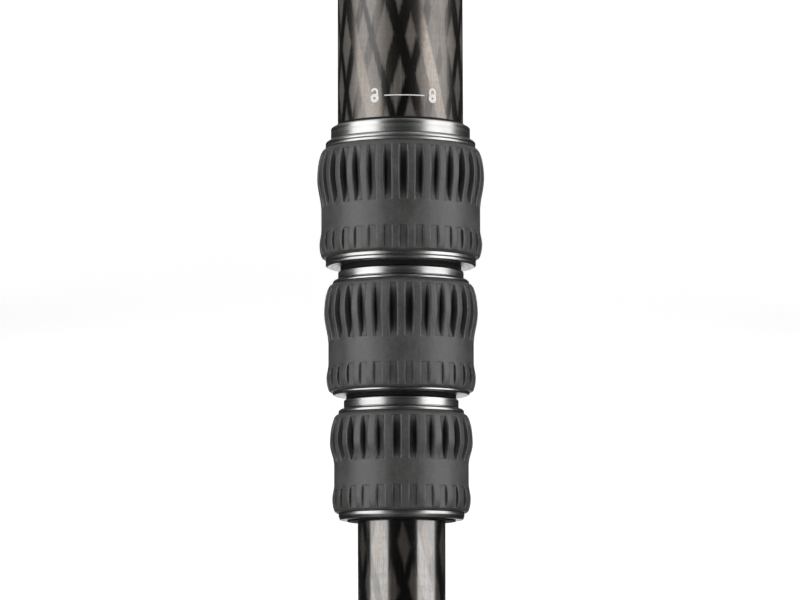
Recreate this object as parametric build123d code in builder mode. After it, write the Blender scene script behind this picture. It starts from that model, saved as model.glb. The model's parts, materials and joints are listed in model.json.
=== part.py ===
from build123d import *
from math import cos, radians, sin, tan
import os

# Camera tripod without a centre column: three four-section carbon legs with twist locks,
# hinged on an apex ring that holds a round head platform.
# Millimetres. The origin is the base of the head stud on the platform face, +Z is up,
# and the front leg points along -Y.

os.makedirs("parts", exist_ok=True)

# Stance
leg_turns = {"front": 0, "right": 120, "left": 240}  # degrees about Z from -Y
leg_spread = 23.0  # degrees between a leg and the vertical, on its first angle stop
hinge_outreach = 10.0  # from the platform's rim out to a leg's hinge pin
hinge_drop = 20.0  # from the platform face down to the hinge pins

# Leg tubes, each sliding in the one above
top_tube_diameter = 36.0
tube_wall = 1.2
tube_gaps = (0.8, 0.4, 0.7)  # radial room between a tube's bore and the tube inside it
first_lock_drop = 400.0  # from the hinge down the leg to the top of the first lock
tube_end_steps = 6.0  # each retracted tube stops this far below the end of the one round it
bare_tube_length = 32.0  # bottom tube showing between the last lock and the foot

# Anti-twist shims, two half shells on the upper end of each sliding tube
shim_length = 25.0
shim_drop = 2.0
shim_arc = 150.0
shim_seat_gap = 0.1
slide_clearance = 0.15

# Twist locks, top to bottom: a threaded collar on the upper tube, a nut with a rubber grip
collar_heights = (4.4, 2.0, 2.25)
top_rim_heights = (2.3, 1.4, 1.5)
grip_lengths = (31.1, 30.3, 27.8)
bottom_rim_heights = (2.4, 1.0, 2.0)
lock_gaps = (1.7, 1.4)  # between a nut and the collar below it, legs closed
flute_counts = (32, 29, 26)
flute_offsets = (2.0, 6.4, -3.8)  # degrees from the front of the leg to the nearest flute
collar_rise = 1.95  # how far each ring stands out from the tube it is on
thread_rise = 1.4
rim_rise = 3.5
grip_rise = 5.95
collar_chamfer = 1.0
rim_chamfer = 0.9
nut_gap = 0.5
glue_gap = 0.05
thread_clearance = 0.08
rubber_recess = 0.5  # depth of the nut's band under the rubber, below its rims
lip_height = 3.0
lip_clearance = 0.3

# Rubber grip: a barrel above a waist and a low bead, with long flutes and short slots
barrel_top_drop = 2.3
barrel_shoulder_drop = 0.85
barrel_shoulder_depth = 2.2
barrel_crest_depth = 8.4
waist_drop = 1.2
waist_start = 13.7  # these heights are measured up from the grip's lower edge
waist_end = 8.0
bead_height = 4.2
bead_drop = 0.65
grip_foot_drop = 1.9
flute_width = 2.05
flute_margin = 1.6
flute_floor_drop = 0.35  # floor of the flutes below the waist
slot_low, slot_high = 0.9, 7.0
slot_floor_drop = 0.1

# Clamping collet inside each lock
collet_height = 10.0
cone_length = 6.0
cone_throat_wall = 0.55
cone_mouth_wall = 0.75
collet_gap = 0.1
collet_play = 0.2
collet_slit = 2.0

# Rubber foot
foot_length = 38.0
foot_socket_depth = 14.0
foot_neck_wall = 2.6
foot_radius = 17.0
foot_flat_radius = 6.0
foot_bevel_radius = 12.0
foot_side_height = 8.5
foot_crown_height = 15.0
foot_neck_height = 26.0
foot_top_chamfer = 1.2

# Leg top casting, a socket under a fork that straddles the apex arm
socket_wall = 2.5
socket_top = 24.0  # below the hinge
socket_depth = 28.0
socket_bottom = 58.0
socket_chamfer = 1.6
fork_base = 13.0
fork_thickness = 5.8
fork_back = 10.0  # inner side of the fork, from the hinge
fork_front = 13.6
fork_height = 19.6
fork_corner = 3.0
bridge_inner = 4.0  # the bridge over the fork, measured outward from the hinge
bridge_bottom = 10.8
eye_clearance = 0.8

# Angle stop tab, a flat bolt that slides through the bridge
tab_width = 15.6
tab_thickness = 3.8
tab_level = 15.0  # its middle, above the hinge
tab_nose = 1.0  # its inner end, outward from the leg's axis
tab_clearance = 0.1
pull_width = 22.0
pull_height = 7.4
pull_depth = 6.5
pull_gap = 0.4
pull_corner = 1.8
finger_groove_radius = 4.0
finger_groove_depth = 1.1

# Apex: a split clamp ring with three arms
ring_wall = 6.95
ring_lip = 1.0  # the ring stands out this far beyond the platform's rim
arm_width = 24.0
arm_eye_radius = 9.5
washer_thickness = 0.8
washer_radius = 8.2
washer_play = 0.1
stop_play = 0.15
stop_height = 17.2
stop_thickness = 3.0
bolt_radius = 4.0
bolt_clearance = 0.05
bolt_head_radius = 7.0
bolt_head_height = 3.4
bolt_socket_radius = 2.9
bolt_socket_depth = 2.2
clamp_ear_width = 18.0
clamp_ear_end = 7.5  # from the clamp screw out to the end of its ears
clamp_ear_height = 16.0
clamp_ear_corner = 6.0
clamp_slit = 2.4
clamp_screw_radius = 3.0
clamp_screw_outreach = 11.5  # from the ring out to the clamp screw
clamp_bore_clearance = 0.08
level_boss_radius = 8.6
level_radius = 6.0
level_gap = 0.5  # between the level and the platform's rim
level_depth = 4.6
level_proud = 0.8
level_clearance = 0.05
socket_block_width = 18.0
socket_block_outreach = 8.5  # from the ring out to the face of the accessory block
socket_block_height = 15.0
socket_block_corner = 3.0
accessory_thread_radius = 3.175
accessory_thread_depth = 9.0

# Head platform, its stud and its three grub screws
platform_diameter = 68.0
platform_thickness = 8.0
platform_chamfer = 0.8
platform_groove_depth = 1.0
platform_groove_height = 3.0
spigot_clearance = 0.15
spigot_depth = 12.0
pocket_radius = 12.0
platform_web = 6.0
stud_radius = 4.7625
stud_length = 12.0
stud_chamfer = 0.8
stud_neck_radius = 4.2
stud_hole_clearance = 0.1
stud_flange_radius = 9.0
stud_flange_height = 3.0
grub_radius = 2.45
grub_length = 7.4
grub_sink = 0.3
grub_clearance = 0.05
grub_key_radius = 1.4
grub_key_depth = 2.0

# Clamp knob and nut
knob_radius = 11.0
knob_height = 11.0
knob_lobes = 6
knob_scallop_radius = 4.2
knob_scallop_reach = 12.8
knob_chamfer = 1.2
knob_gap = 0.3
clamp_nut_radius = 6.4
clamp_nut_height = 4.5
clamp_screw_tail = 1.0

# Ballast hook under the platform
housing_flange_radius = 15.0
housing_flange_height = 3.0
housing_nose_radius = 7.2
housing_length = 17.0
housing_thread_clearance = 0.1
housing_cavity_radius = 5.6
housing_floor = 2.6
hook_shaft_radius = 3.0
hook_clearance = 0.1
hook_head_radius = 5.3
hook_head_height = 2.0
hook_neck_length = 5.0
hook_wire_radius = 2.2
hook_lead_radius = 4.5
hook_lead_turn = 62.0
hook_bow_radius = 9.0
hook_bow_turn = 268.0


# Sizes that follow from those above

tube_radii = [top_tube_diameter / 2]
for gap in tube_gaps:
    tube_radii.append(tube_radii[-1] - tube_wall - gap)
bottom_tube = len(tube_radii) - 1

platform_radius = platform_diameter / 2
hinge_radius = platform_radius + hinge_outreach
ring_radius = platform_radius + ring_lip
bore_radius = ring_radius - ring_wall
spigot_radius = bore_radius - spigot_clearance
grub_circle_radius = (spigot_radius + pocket_radius) / 2
clamp_screw_reach = ring_radius + clamp_screw_outreach
clamp_ear_reach = clamp_screw_reach + clamp_ear_end
level_boss_reach = platform_radius + level_radius + level_gap
socket_block_reach = ring_radius + socket_block_outreach

lock_count = len(grip_lengths)
lock_tops = []  # heights along the leg, below the hinge at zero
lock_lengths = []
lock_height = -first_lock_drop
for index in range(lock_count):
    lock_tops.append(lock_height)
    rims = top_rim_heights[index] + bottom_rim_heights[index]
    lock_lengths.append(collar_heights[index] + nut_gap + rims + grip_lengths[index])
    lock_height -= lock_lengths[index]
    if index < len(lock_gaps):
        lock_height -= lock_gaps[index]
last_lock_bottom = lock_height
foot_top = last_lock_bottom - bare_tube_length
foot_tip = foot_top - foot_length


def sleeve_bottom(index):
    """Lower end of a collar's threaded sleeve."""
    return lock_tops[index] - lock_lengths[index] + lip_height + collet_height


def collar_seat(index):
    """Shoulder inside a collar where the upper tube's end stops."""
    return sleeve_bottom(index) + cone_length


def tube_top(index):
    return -socket_top - tube_end_steps * (index + 1)


def tube_bottom(index):
    if index == bottom_tube:
        return foot_top - foot_socket_depth
    return collar_seat(index)


def grip_top(index):
    return lock_tops[index] - collar_heights[index] - nut_gap - top_rim_heights[index]


def ring_profile(points):
    """Closed outline in the XZ plane, for a revolve about Z."""
    with BuildSketch(Plane.XZ) as outline:
        with BuildLine():
            Polyline(*points, close=True)
        make_face()
    return outline.sketch


# Leg pieces, each made once along its own leg: the hinge pin lies on X at the origin,
# the leg runs down -Z and its outer side faces -Y.


def make_tube(index):
    radius = tube_radii[index]
    top, bottom = tube_top(index), tube_bottom(index)
    with BuildPart() as tube:
        with BuildSketch(Plane.XY.offset(bottom)):
            Circle(radius)
            Circle(radius - tube_wall, mode=Mode.SUBTRACT)
        extrude(amount=top - bottom)
        if index > 0:
            shim_inner = radius + shim_seat_gap
            shim_outer = tube_radii[index - 1] - tube_wall - slide_clearance
            with BuildSketch(Plane.XZ.rotated((0, 0, -shim_arc / 2))) as shim_section:
                with Locations(((shim_inner + shim_outer) / 2, top - shim_drop - shim_length / 2)):
                    Rectangle(shim_outer - shim_inner, shim_length)
            for side in (0, 180):
                turned = shim_section.sketch.rotate(Axis.Z, side)
                revolve(turned, axis=Axis.Z, revolution_arc=shim_arc)
    return tube.part


def make_collar(index):
    """Threaded collar on the upper tube, and the split collet that it squeezes on the lower one."""
    tube_radius = tube_radii[index]
    inner_tube = tube_radii[index + 1]
    bore = tube_radius + glue_gap
    ring = tube_radius + collar_rise
    thread = tube_radius + thread_rise
    mouth = thread - cone_mouth_wall
    throat = tube_radius - cone_throat_wall
    top, low = lock_tops[index], sleeve_bottom(index)
    ring_low = top - collar_heights[index]
    seat = collar_seat(index)
    with BuildPart() as collar:
        revolve(
            ring_profile(
                [
                    (bore, top),
                    (ring - collar_chamfer, top),
                    (ring, top - collar_chamfer),
                    (ring, ring_low),
                    (thread, ring_low),
                    (thread, low),
                    (mouth, low),
                    (throat, seat),
                    (bore, seat),
                ]
            ),
            axis=Axis.Z,
        )
    collet_bore = inner_tube + collet_gap
    collet_low = low - collet_height + collet_play
    flange = tube_radius + thread_rise - collet_play
    with BuildPart() as collet:
        revolve(
            ring_profile(
                [
                    (collet_bore, seat - collet_play),
                    (throat - collet_play, seat - collet_play),
                    (mouth - collet_play, low),
                    (flange, low - collet_play),
                    (flange, collet_low),
                    (collet_bore, collet_low),
                ]
            ),
            axis=Axis.Z,
        )
        with BuildSketch(Plane.XY.offset(collet_low)):
            with Locations((0, tube_radius)):
                Rectangle(collet_slit, tube_radius)
        extrude(amount=seat - collet_low, mode=Mode.SUBTRACT)
    return Compound(children=[collar.part, collet.part])


def make_nut(index):
    """Metal nut: rims above and below the rubber, a thread inside and a lip that lifts the collet."""
    tube_radius = tube_radii[index]
    rim = tube_radius + rim_rise
    band = rim - rubber_recess
    thread = tube_radius + thread_rise + thread_clearance
    bore = tube_radii[index + 1] + lip_clearance
    top = lock_tops[index] - collar_heights[index] - nut_gap
    rubber_top = grip_top(index)
    rubber_low = rubber_top - grip_lengths[index]
    low = rubber_low - bottom_rim_heights[index]
    with BuildPart() as nut:
        revolve(
            ring_profile(
                [
                    (thread, top),
                    (rim - rim_chamfer, top),
                    (rim, top - rim_chamfer),
                    (rim, rubber_top),
                    (band, rubber_top),
                    (band, rubber_low),
                    (rim, rubber_low),
                    (rim, low),
                    (bore, low),
                    (bore, low + lip_height),
                    (thread, low + lip_height),
                ]
            ),
            axis=Axis.Z,
        )
    return nut.part


def make_grip(index):
    """Rubber sleeve moulded round the nut between its rims."""
    crest = tube_radii[index] + grip_rise
    bore = tube_radii[index] + rim_rise - rubber_recess + glue_gap
    waist = crest - waist_drop
    top = grip_top(index)
    low = top - grip_lengths[index]
    with BuildPart() as grip:
        revolve(
            ring_profile(
                [
                    (bore, top),
                    (crest - barrel_top_drop, top),
                    (crest - barrel_shoulder_drop, top - barrel_shoulder_depth),
                    (crest, top - barrel_crest_depth),
                    (waist, low + waist_start),
                    (waist, low + waist_end),
                    (crest - bead_drop, low + bead_height),
                    (crest - grip_foot_drop, low),
                    (bore, low),
                ]
            ),
            axis=Axis.Z,
        )
        first_flute = flute_offsets[index] - 90
        rows = (
            (low + waist_start, top - flute_margin, waist - flute_floor_drop),
            (low + slot_low, low + slot_high, waist - slot_floor_drop),
        )
        for row_low, row_high, floor_radius in rows:
            reach = crest - floor_radius
            with BuildSketch(Plane.XY.offset(row_low)):
                with PolarLocations(floor_radius + reach, flute_counts[index], first_flute):
                    Rectangle(2 * reach, flute_width)
            extrude(amount=row_high - row_low, mode=Mode.SUBTRACT)
    return grip.part


def make_foot():
    """Rubber foot. Its bevel slopes as the leg does, so it meets the ground along a line."""
    tube_radius = tube_radii[bottom_tube]
    bore = tube_radius + glue_gap
    neck = tube_radius + foot_neck_wall
    bevel_height = (foot_bevel_radius - foot_flat_radius) * tan(radians(leg_spread))
    with BuildPart() as foot:
        revolve(
            ring_profile(
                [
                    (0, foot_tip),
                    (foot_flat_radius, foot_tip),
                    (foot_bevel_radius, foot_tip + bevel_height),
                    (foot_radius, foot_tip + foot_side_height),
                    (foot_radius, foot_tip + foot_crown_height),
                    (neck, foot_tip + foot_neck_height),
                    (neck, foot_top - foot_top_chamfer),
                    (neck - foot_top_chamfer, foot_top),
                    (bore, foot_top),
                    (bore, foot_top - foot_socket_depth),
                    (0, foot_top - foot_socket_depth),
                ]
            ),
            axis=Axis.Z,
        )
    return foot.part


fork_half_width = arm_width / 2 + washer_thickness + 2 * washer_play + fork_thickness
fork_half_gap = fork_half_width - fork_thickness


def make_leg_top():
    """Cast fork and socket at the top of a leg."""
    tube_radius = tube_radii[0]
    socket_radius = tube_radius + socket_wall
    fork_depth = fork_front + fork_back
    fork_middle = (fork_back - fork_front) / 2
    with BuildPart() as leg_top:
        with BuildSketch(Plane.XY.offset(-socket_bottom)):
            Circle(socket_radius)
        extrude(amount=socket_bottom - socket_top)
        chamfer(leg_top.edges().group_by(Axis.Z)[0], socket_chamfer)
        with BuildSketch(Plane.XY.offset(-socket_top)):
            Circle(socket_radius)
        with BuildSketch(Plane.XY.offset(-fork_base)):
            with Locations((0, fork_middle)):
                RectangleRounded(2 * fork_half_width, fork_depth, fork_corner)
        loft()
        with BuildSketch(Plane.YZ) as fork_side:
            with BuildLine():
                Polyline(
                    (fork_back, -fork_base),
                    (fork_back, arm_eye_radius / 2),
                    (0, fork_height),
                    (-fork_front, fork_height),
                    (-fork_front, -fork_base),
                    close=True,
                )
            make_face()
            fillet(fork_side.vertices().sort_by(Axis.Z)[2:], fork_corner)
        extrude(amount=fork_half_width, both=True)
        with BuildSketch(Plane.YZ):
            Circle(arm_eye_radius + eye_clearance)
            slot_low_edge = -arm_eye_radius - eye_clearance
            with Locations((fork_back, (fork_height + slot_low_edge) / 2)):
                Rectangle(2 * fork_back, fork_height - slot_low_edge + 2 * eye_clearance)
            with Locations((0, bridge_bottom / 2)):
                Rectangle(4 * fork_front, bridge_bottom)
            with Locations((0, fork_height / 2)):
                Rectangle(2 * bridge_inner, fork_height + 2 * eye_clearance)
        extrude(amount=fork_half_gap, both=True, mode=Mode.SUBTRACT)
        with BuildSketch(Plane.YZ):
            Circle(bolt_radius + bolt_clearance)
        extrude(amount=fork_half_width, both=True, mode=Mode.SUBTRACT)
        with BuildSketch(Plane.XZ):
            with Locations((0, tab_level)):
                Rectangle(tab_width + 2 * tab_clearance, tab_thickness + 2 * tab_clearance)
        extrude(amount=2 * fork_front, mode=Mode.SUBTRACT)
        with BuildSketch(Plane.XY.offset(-socket_bottom)):
            Circle(tube_radius + glue_gap)
        extrude(amount=socket_depth, mode=Mode.SUBTRACT)
    return leg_top.part


def make_angle_tab():
    """Sliding stop: its nose meets the apex, its pull stands outside the bridge."""
    pull_start = fork_front + pull_gap
    with BuildPart() as tab:
        with BuildSketch(Plane.XZ.offset(tab_nose)):
            with Locations((0, tab_level)):
                Rectangle(tab_width, tab_thickness)
        extrude(amount=pull_start - tab_nose)
        with BuildSketch(Plane.XZ.offset(pull_start)):
            with Locations((0, tab_level)):
                RectangleRounded(pull_width, pull_height, pull_corner)
        extrude(amount=pull_depth)
        groove_depth = pull_start + pull_depth / 2
        groove_level = pull_height / 2 + finger_groove_radius - finger_groove_depth
        with BuildSketch(Plane.YZ):
            for side in (-1, 1):
                with Locations((-groove_depth, tab_level + side * groove_level)):
                    Circle(finger_groove_radius)
        extrude(amount=pull_width, both=True, mode=Mode.SUBTRACT)
    return tab.part


leg_pieces = {"leg_top": make_leg_top(), "angle_tab": make_angle_tab(), "foot": make_foot()}
for index in range(len(tube_radii)):
    leg_pieces[f"tube_{index + 1}"] = make_tube(index)
for index in range(lock_count):
    leg_pieces[f"collar_{index + 1}"] = make_collar(index)
    leg_pieces[f"lock_nut_{index + 1}"] = make_nut(index)
    leg_pieces[f"lock_grip_{index + 1}"] = make_grip(index)

for leg_name, turn in leg_turns.items():
    on_apex = Location((0, -hinge_radius, -hinge_drop), (-leg_spread, 0, 0))
    on_leg = Location((0, 0, 0), (0, 0, turn)) * on_apex
    for piece_name, piece in leg_pieces.items():
        placed = piece.moved(on_leg)
        placed.label = f"{leg_name}_{piece_name}"
        export_step(placed, f"parts/{placed.label}.step")


# Apex and platform


def radial_plane(turn, reach=0.0):
    """Upright plane through the tripod's axis: x runs outward at this turn from -Y, y is up."""
    outward = Vector(0, -1, 0).rotate(Axis.Z, turn)
    return Plane(origin=outward * reach, x_dir=outward, z_dir=outward.cross(Vector(0, 0, 1)))


def facing_plane(turn, reach):
    """Upright plane that faces outward at this turn from -Y."""
    outward = Vector(0, -1, 0).rotate(Axis.Z, turn)
    return Plane(origin=outward * reach, x_dir=Vector(0, 0, 1).cross(outward), z_dir=outward)


def beside_leg(outward, up):
    """A point of the leg's own middle plane, seen in the plane of the apex arm."""
    lean = radians(leg_spread)
    reach = hinge_radius + outward * cos(lean) - up * sin(lean)
    return (reach, -hinge_drop + outward * sin(lean) + up * cos(lean))


ring_top = -platform_thickness
ring_bottom = -hinge_drop - arm_eye_radius
ring_height = ring_top - ring_bottom
ring_middle = (ring_top + ring_bottom) / 2
arm_root = (bore_radius + ring_radius) / 2
stop_face = tab_nose - stop_play
stop_top = beside_leg(stop_face, stop_height)
stop_inner = stop_top[0] - stop_thickness
gap_turns = {"level": 60, "clamp": 180, "accessory": 300}  # between the legs

with BuildPart() as apex:
    with BuildSketch(Plane.XY.offset(ring_bottom)):
        Circle(ring_radius)
    extrude(amount=ring_height)
    for turn in leg_turns.values():
        with BuildSketch(radial_plane(turn)):
            with Locations((hinge_radius, -hinge_drop)):
                Circle(arm_eye_radius)
            with Locations(((arm_root + hinge_radius) / 2, -hinge_drop)):
                Rectangle(hinge_radius - arm_root, 2 * arm_eye_radius)
            with BuildLine():
                Polyline(
                    beside_leg(stop_face, arm_eye_radius / 2),
                    stop_top,
                    (stop_inner, stop_top[1]),
                    (stop_inner, ring_bottom / 2 - hinge_drop / 2),
                    close=True,
                )
            make_face()
        extrude(amount=arm_width / 2, both=True)
    with BuildSketch(facing_plane(gap_turns["clamp"], bore_radius)):
        with Locations((0, ring_middle)):
            Rectangle(clamp_ear_width, clamp_ear_height)
    extrude(amount=clamp_ear_reach - bore_radius)
    fillet(apex.edges().filter_by(Axis.X).group_by(Axis.Y)[-1], clamp_ear_corner)
    with BuildSketch(Plane.XY.offset(ring_bottom)):
        outward = Vector(0, -level_boss_reach, 0).rotate(Axis.Z, gap_turns["level"])
        with Locations((outward.X, outward.Y)):
            Circle(level_boss_radius)
    extrude(amount=ring_height)
    with BuildSketch(facing_plane(gap_turns["accessory"], bore_radius)):
        with Locations((0, ring_middle)):
            RectangleRounded(socket_block_width, socket_block_height, socket_block_corner)
    extrude(amount=socket_block_reach - bore_radius)
    with BuildSketch(Plane.XY.offset(ring_bottom)):
        Circle(bore_radius)
    extrude(amount=ring_height, mode=Mode.SUBTRACT)
    with BuildSketch(Plane.XY.offset(ring_bottom)):
        with Locations((0, clamp_ear_reach / 2)):
            Rectangle(clamp_slit, clamp_ear_reach)
    extrude(amount=ring_height, mode=Mode.SUBTRACT)
    with BuildSketch(Plane.YZ):
        with Locations((clamp_screw_reach, ring_middle)):
            Circle(clamp_screw_radius + clamp_bore_clearance)
    extrude(amount=clamp_ear_width, both=True, mode=Mode.SUBTRACT)
    with BuildSketch(Plane.XY.offset(ring_top)):
        with Locations((outward.X, outward.Y)):
            Circle(level_radius + level_clearance)
    extrude(amount=-level_depth, mode=Mode.SUBTRACT)
    with BuildSketch(facing_plane(gap_turns["accessory"], socket_block_reach)):
        with Locations((0, ring_middle)):
            Circle(accessory_thread_radius)
    extrude(amount=-accessory_thread_depth, mode=Mode.SUBTRACT)
    for turn in leg_turns.values():
        with BuildSketch(radial_plane(turn)):
            with Locations((hinge_radius, -hinge_drop)):
                Circle(bolt_radius + bolt_clearance)
        extrude(amount=arm_width, both=True, mode=Mode.SUBTRACT)
apex.part.label = "apex"
export_step(apex.part, "parts/apex.step")

bolt_reach = fork_half_width + washer_play
with BuildPart() as hinge_bolts:
    for turn in leg_turns.values():
        middle = radial_plane(turn)
        with BuildSketch(middle):
            with Locations((hinge_radius, -hinge_drop)):
                Circle(bolt_radius)
        extrude(amount=bolt_reach, both=True)
        for side in (-1, 1):
            with BuildSketch(middle.offset(side * bolt_reach)):
                with Locations((hinge_radius, -hinge_drop)):
                    Circle(bolt_head_radius)
                    RegularPolygon(bolt_socket_radius, 6, mode=Mode.SUBTRACT)
            extrude(amount=side * bolt_socket_depth)
            with BuildSketch(middle.offset(side * bolt_reach)):
                with Locations((hinge_radius, -hinge_drop)):
                    Circle(bolt_head_radius)
            extrude(amount=side * (bolt_head_height - bolt_socket_depth))
hinge_bolts.part.label = "hinge_bolts"
export_step(hinge_bolts.part, "parts/hinge_bolts.step")

with BuildPart() as hinge_washers:
    for turn in leg_turns.values():
        for side in (-1, 1):
            with BuildSketch(radial_plane(turn).offset(side * (arm_width / 2 + washer_play))):
                with Locations((hinge_radius, -hinge_drop)):
                    Circle(washer_radius)
                    Circle(bolt_radius + bolt_clearance, mode=Mode.SUBTRACT)
            extrude(amount=side * washer_thickness)
hinge_washers.part.label = "hinge_washers"
export_step(hinge_washers.part, "parts/hinge_washers.step")

with BuildPart() as bubble_level:
    with BuildSketch(Plane.XY.offset(ring_top - level_depth)):
        with Locations((outward.X, outward.Y)):
            Circle(level_radius)
    extrude(amount=level_depth + level_proud)
bubble_level.part.label = "bubble_level"
export_step(bubble_level.part, "parts/bubble_level.step")

spigot_bottom = -platform_thickness - spigot_depth
with BuildPart() as platform:
    groove_top = -(platform_thickness - platform_groove_height) / 2
    revolve(
        ring_profile(
            [
                (0, 0),
                (platform_radius - platform_chamfer, 0),
                (platform_radius, -platform_chamfer),
                (platform_radius, groove_top),
                (platform_radius - platform_groove_depth, groove_top),
                (platform_radius - platform_groove_depth, groove_top - platform_groove_height),
                (platform_radius, groove_top - platform_groove_height),
                (platform_radius, -platform_thickness),
                (spigot_radius, -platform_thickness),
                (spigot_radius, spigot_bottom),
                (pocket_radius, spigot_bottom),
                (pocket_radius, -platform_web),
                (0, -platform_web),
            ]
        ),
        axis=Axis.Z,
    )
    with BuildSketch(Plane.XY):
        Circle(stud_radius + stud_hole_clearance)
    extrude(amount=-platform_web, mode=Mode.SUBTRACT)
    with BuildSketch(Plane.XY):
        with PolarLocations(grub_circle_radius, 3, 90):
            Circle(grub_radius + grub_clearance)
    extrude(amount=spigot_bottom, mode=Mode.SUBTRACT)
platform.part.label = "platform"
export_step(platform.part, "parts/platform.step")

with BuildPart() as head_stud:
    flange_low = -platform_web - stud_flange_height
    revolve(
        ring_profile(
            [
                (0, stud_length),
                (stud_radius - stud_chamfer, stud_length),
                (stud_radius, stud_length - stud_chamfer),
                (stud_radius, 0),
                (stud_neck_radius, 0),
                (stud_neck_radius, -platform_web),
                (stud_flange_radius, -platform_web),
                (stud_flange_radius, flange_low),
                (0, flange_low),
            ]
        ),
        axis=Axis.Z,
    )
head_stud.part.label = "head_stud"
export_step(head_stud.part, "parts/head_stud.step")

with BuildPart() as grub_screws:
    with BuildSketch(Plane.XY.offset(-grub_sink)):
        with PolarLocations(grub_circle_radius, 3, 90):
            Circle(grub_radius)
    extrude(amount=-grub_length)
    with BuildSketch(Plane.XY.offset(-grub_sink - grub_length)):
        with PolarLocations(grub_circle_radius, 3, 90):
            RegularPolygon(grub_key_radius, 6)
    extrude(amount=grub_key_depth, mode=Mode.SUBTRACT)
grub_screws.part.label = "grub_screws"
export_step(grub_screws.part, "parts/grub_screws.step")

clamp_ear_side = clamp_ear_width / 2
with BuildPart() as clamp_knob:
    with BuildSketch(Plane.YZ.offset(clamp_ear_side + knob_gap)):
        with Locations((clamp_screw_reach, ring_middle)):
            Circle(knob_radius)
            with PolarLocations(knob_scallop_reach, knob_lobes):
                Circle(knob_scallop_radius, mode=Mode.SUBTRACT)
    extrude(amount=knob_height)
    chamfer(clamp_knob.faces().sort_by(Axis.X)[-1].edges(), knob_chamfer)
    with BuildSketch(Plane.YZ.offset(clamp_ear_side + knob_gap)):
        with Locations((clamp_screw_reach, ring_middle)):
            Circle(clamp_screw_radius)
    extrude(amount=-(clamp_ear_width + knob_gap + clamp_nut_height + clamp_screw_tail))
clamp_knob.part.label = "clamp_knob"
export_step(clamp_knob.part, "parts/clamp_knob.step")

with BuildPart() as clamp_nut:
    with BuildSketch(Plane.YZ.offset(-clamp_ear_side)):
        with Locations((clamp_screw_reach, ring_middle)):
            RegularPolygon(clamp_nut_radius, 6)
            Circle(clamp_screw_radius + clamp_bore_clearance, mode=Mode.SUBTRACT)
    extrude(amount=-clamp_nut_height)
clamp_nut.part.label = "clamp_nut"
export_step(clamp_nut.part, "parts/clamp_nut.step")

housing_low = spigot_bottom - housing_length
hook_bore = hook_shaft_radius + hook_clearance
with BuildPart() as hook_housing:
    housing_thread = pocket_radius - housing_thread_clearance
    revolve(
        ring_profile(
            [
                (0, flange_low),
                (housing_thread, flange_low),
                (housing_thread, spigot_bottom),
                (housing_flange_radius, spigot_bottom),
                (housing_flange_radius, spigot_bottom - housing_flange_height),
                (housing_nose_radius, spigot_bottom - housing_flange_height),
                (housing_nose_radius, housing_low),
                (hook_bore, housing_low),
                (hook_bore, housing_low + housing_floor),
                (housing_cavity_radius, housing_low + housing_floor),
                (housing_cavity_radius, flange_low - housing_floor),
                (0, flange_low - housing_floor),
            ]
        ),
        axis=Axis.Z,
    )
hook_housing.part.label = "hook_housing"
export_step(hook_housing.part, "parts/hook_housing.step")

hook_head_top = flange_low - housing_floor - hook_clearance
with BuildPart() as hook:
    with BuildSketch(Plane.XY.offset(hook_head_top)):
        Circle(hook_head_radius)
    extrude(amount=-hook_head_height)
    with BuildSketch(Plane.XY.offset(hook_head_top)):
        Circle(hook_shaft_radius)
    shaft_low = housing_low - hook_neck_length
    extrude(amount=shaft_low - hook_head_top)
    with BuildLine(Plane.XZ) as bend:
        lead = JernArc((0, shaft_low), (0, -1), hook_lead_radius, -hook_lead_turn)
        bow = JernArc(lead @ 1, lead % 1, hook_bow_radius, hook_bow_turn)
    with BuildSketch(Plane(origin=lead @ 0, z_dir=lead % 0)):
        Circle(hook_wire_radius)
    sweep(path=bend.line)
hook.part.label = "hook"
export_step(hook.part, "parts/hook.step")

lean = radians(leg_spread)
rest_height = hinge_drop - foot_tip * cos(lean) + foot_flat_radius * sin(lean)
print("lock tops", [round(value, 2) for value in lock_tops], "foot tip", round(foot_tip, 2))
print("tube radii", [round(value, 2) for value in tube_radii], "ground at", round(-rest_height, 3))
print("hook bow centre", bow.arc_center)
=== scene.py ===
import json
import math

import bmesh
import bpy
from mathutils import Matrix, Vector


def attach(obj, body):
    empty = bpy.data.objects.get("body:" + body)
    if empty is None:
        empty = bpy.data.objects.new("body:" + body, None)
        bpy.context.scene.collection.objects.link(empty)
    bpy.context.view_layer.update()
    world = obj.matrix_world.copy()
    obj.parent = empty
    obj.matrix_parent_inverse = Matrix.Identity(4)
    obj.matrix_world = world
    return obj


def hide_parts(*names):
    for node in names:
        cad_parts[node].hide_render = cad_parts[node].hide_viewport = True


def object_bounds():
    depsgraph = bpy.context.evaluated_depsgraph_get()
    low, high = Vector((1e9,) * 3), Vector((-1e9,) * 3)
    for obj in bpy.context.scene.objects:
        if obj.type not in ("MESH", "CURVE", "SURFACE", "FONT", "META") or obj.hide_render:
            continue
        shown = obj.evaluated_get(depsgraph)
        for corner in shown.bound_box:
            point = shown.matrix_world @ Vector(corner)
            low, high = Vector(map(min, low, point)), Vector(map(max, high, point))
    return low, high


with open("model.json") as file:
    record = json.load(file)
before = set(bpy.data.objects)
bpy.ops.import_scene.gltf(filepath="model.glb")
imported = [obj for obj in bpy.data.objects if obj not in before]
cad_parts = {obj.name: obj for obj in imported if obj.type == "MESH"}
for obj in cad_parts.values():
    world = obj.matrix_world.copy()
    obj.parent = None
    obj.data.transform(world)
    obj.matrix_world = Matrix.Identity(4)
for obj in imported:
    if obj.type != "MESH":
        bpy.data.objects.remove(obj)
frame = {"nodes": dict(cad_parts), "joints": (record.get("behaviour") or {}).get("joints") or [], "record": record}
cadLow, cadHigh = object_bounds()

# Camera tripod with three twist-lock legs.
# Pieces are shaped in millimetres. A leg piece is shaped once, in the leg's own place: its hinge
# pin lies on x at the origin, the leg runs down -z and its outer side faces -y.

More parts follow.
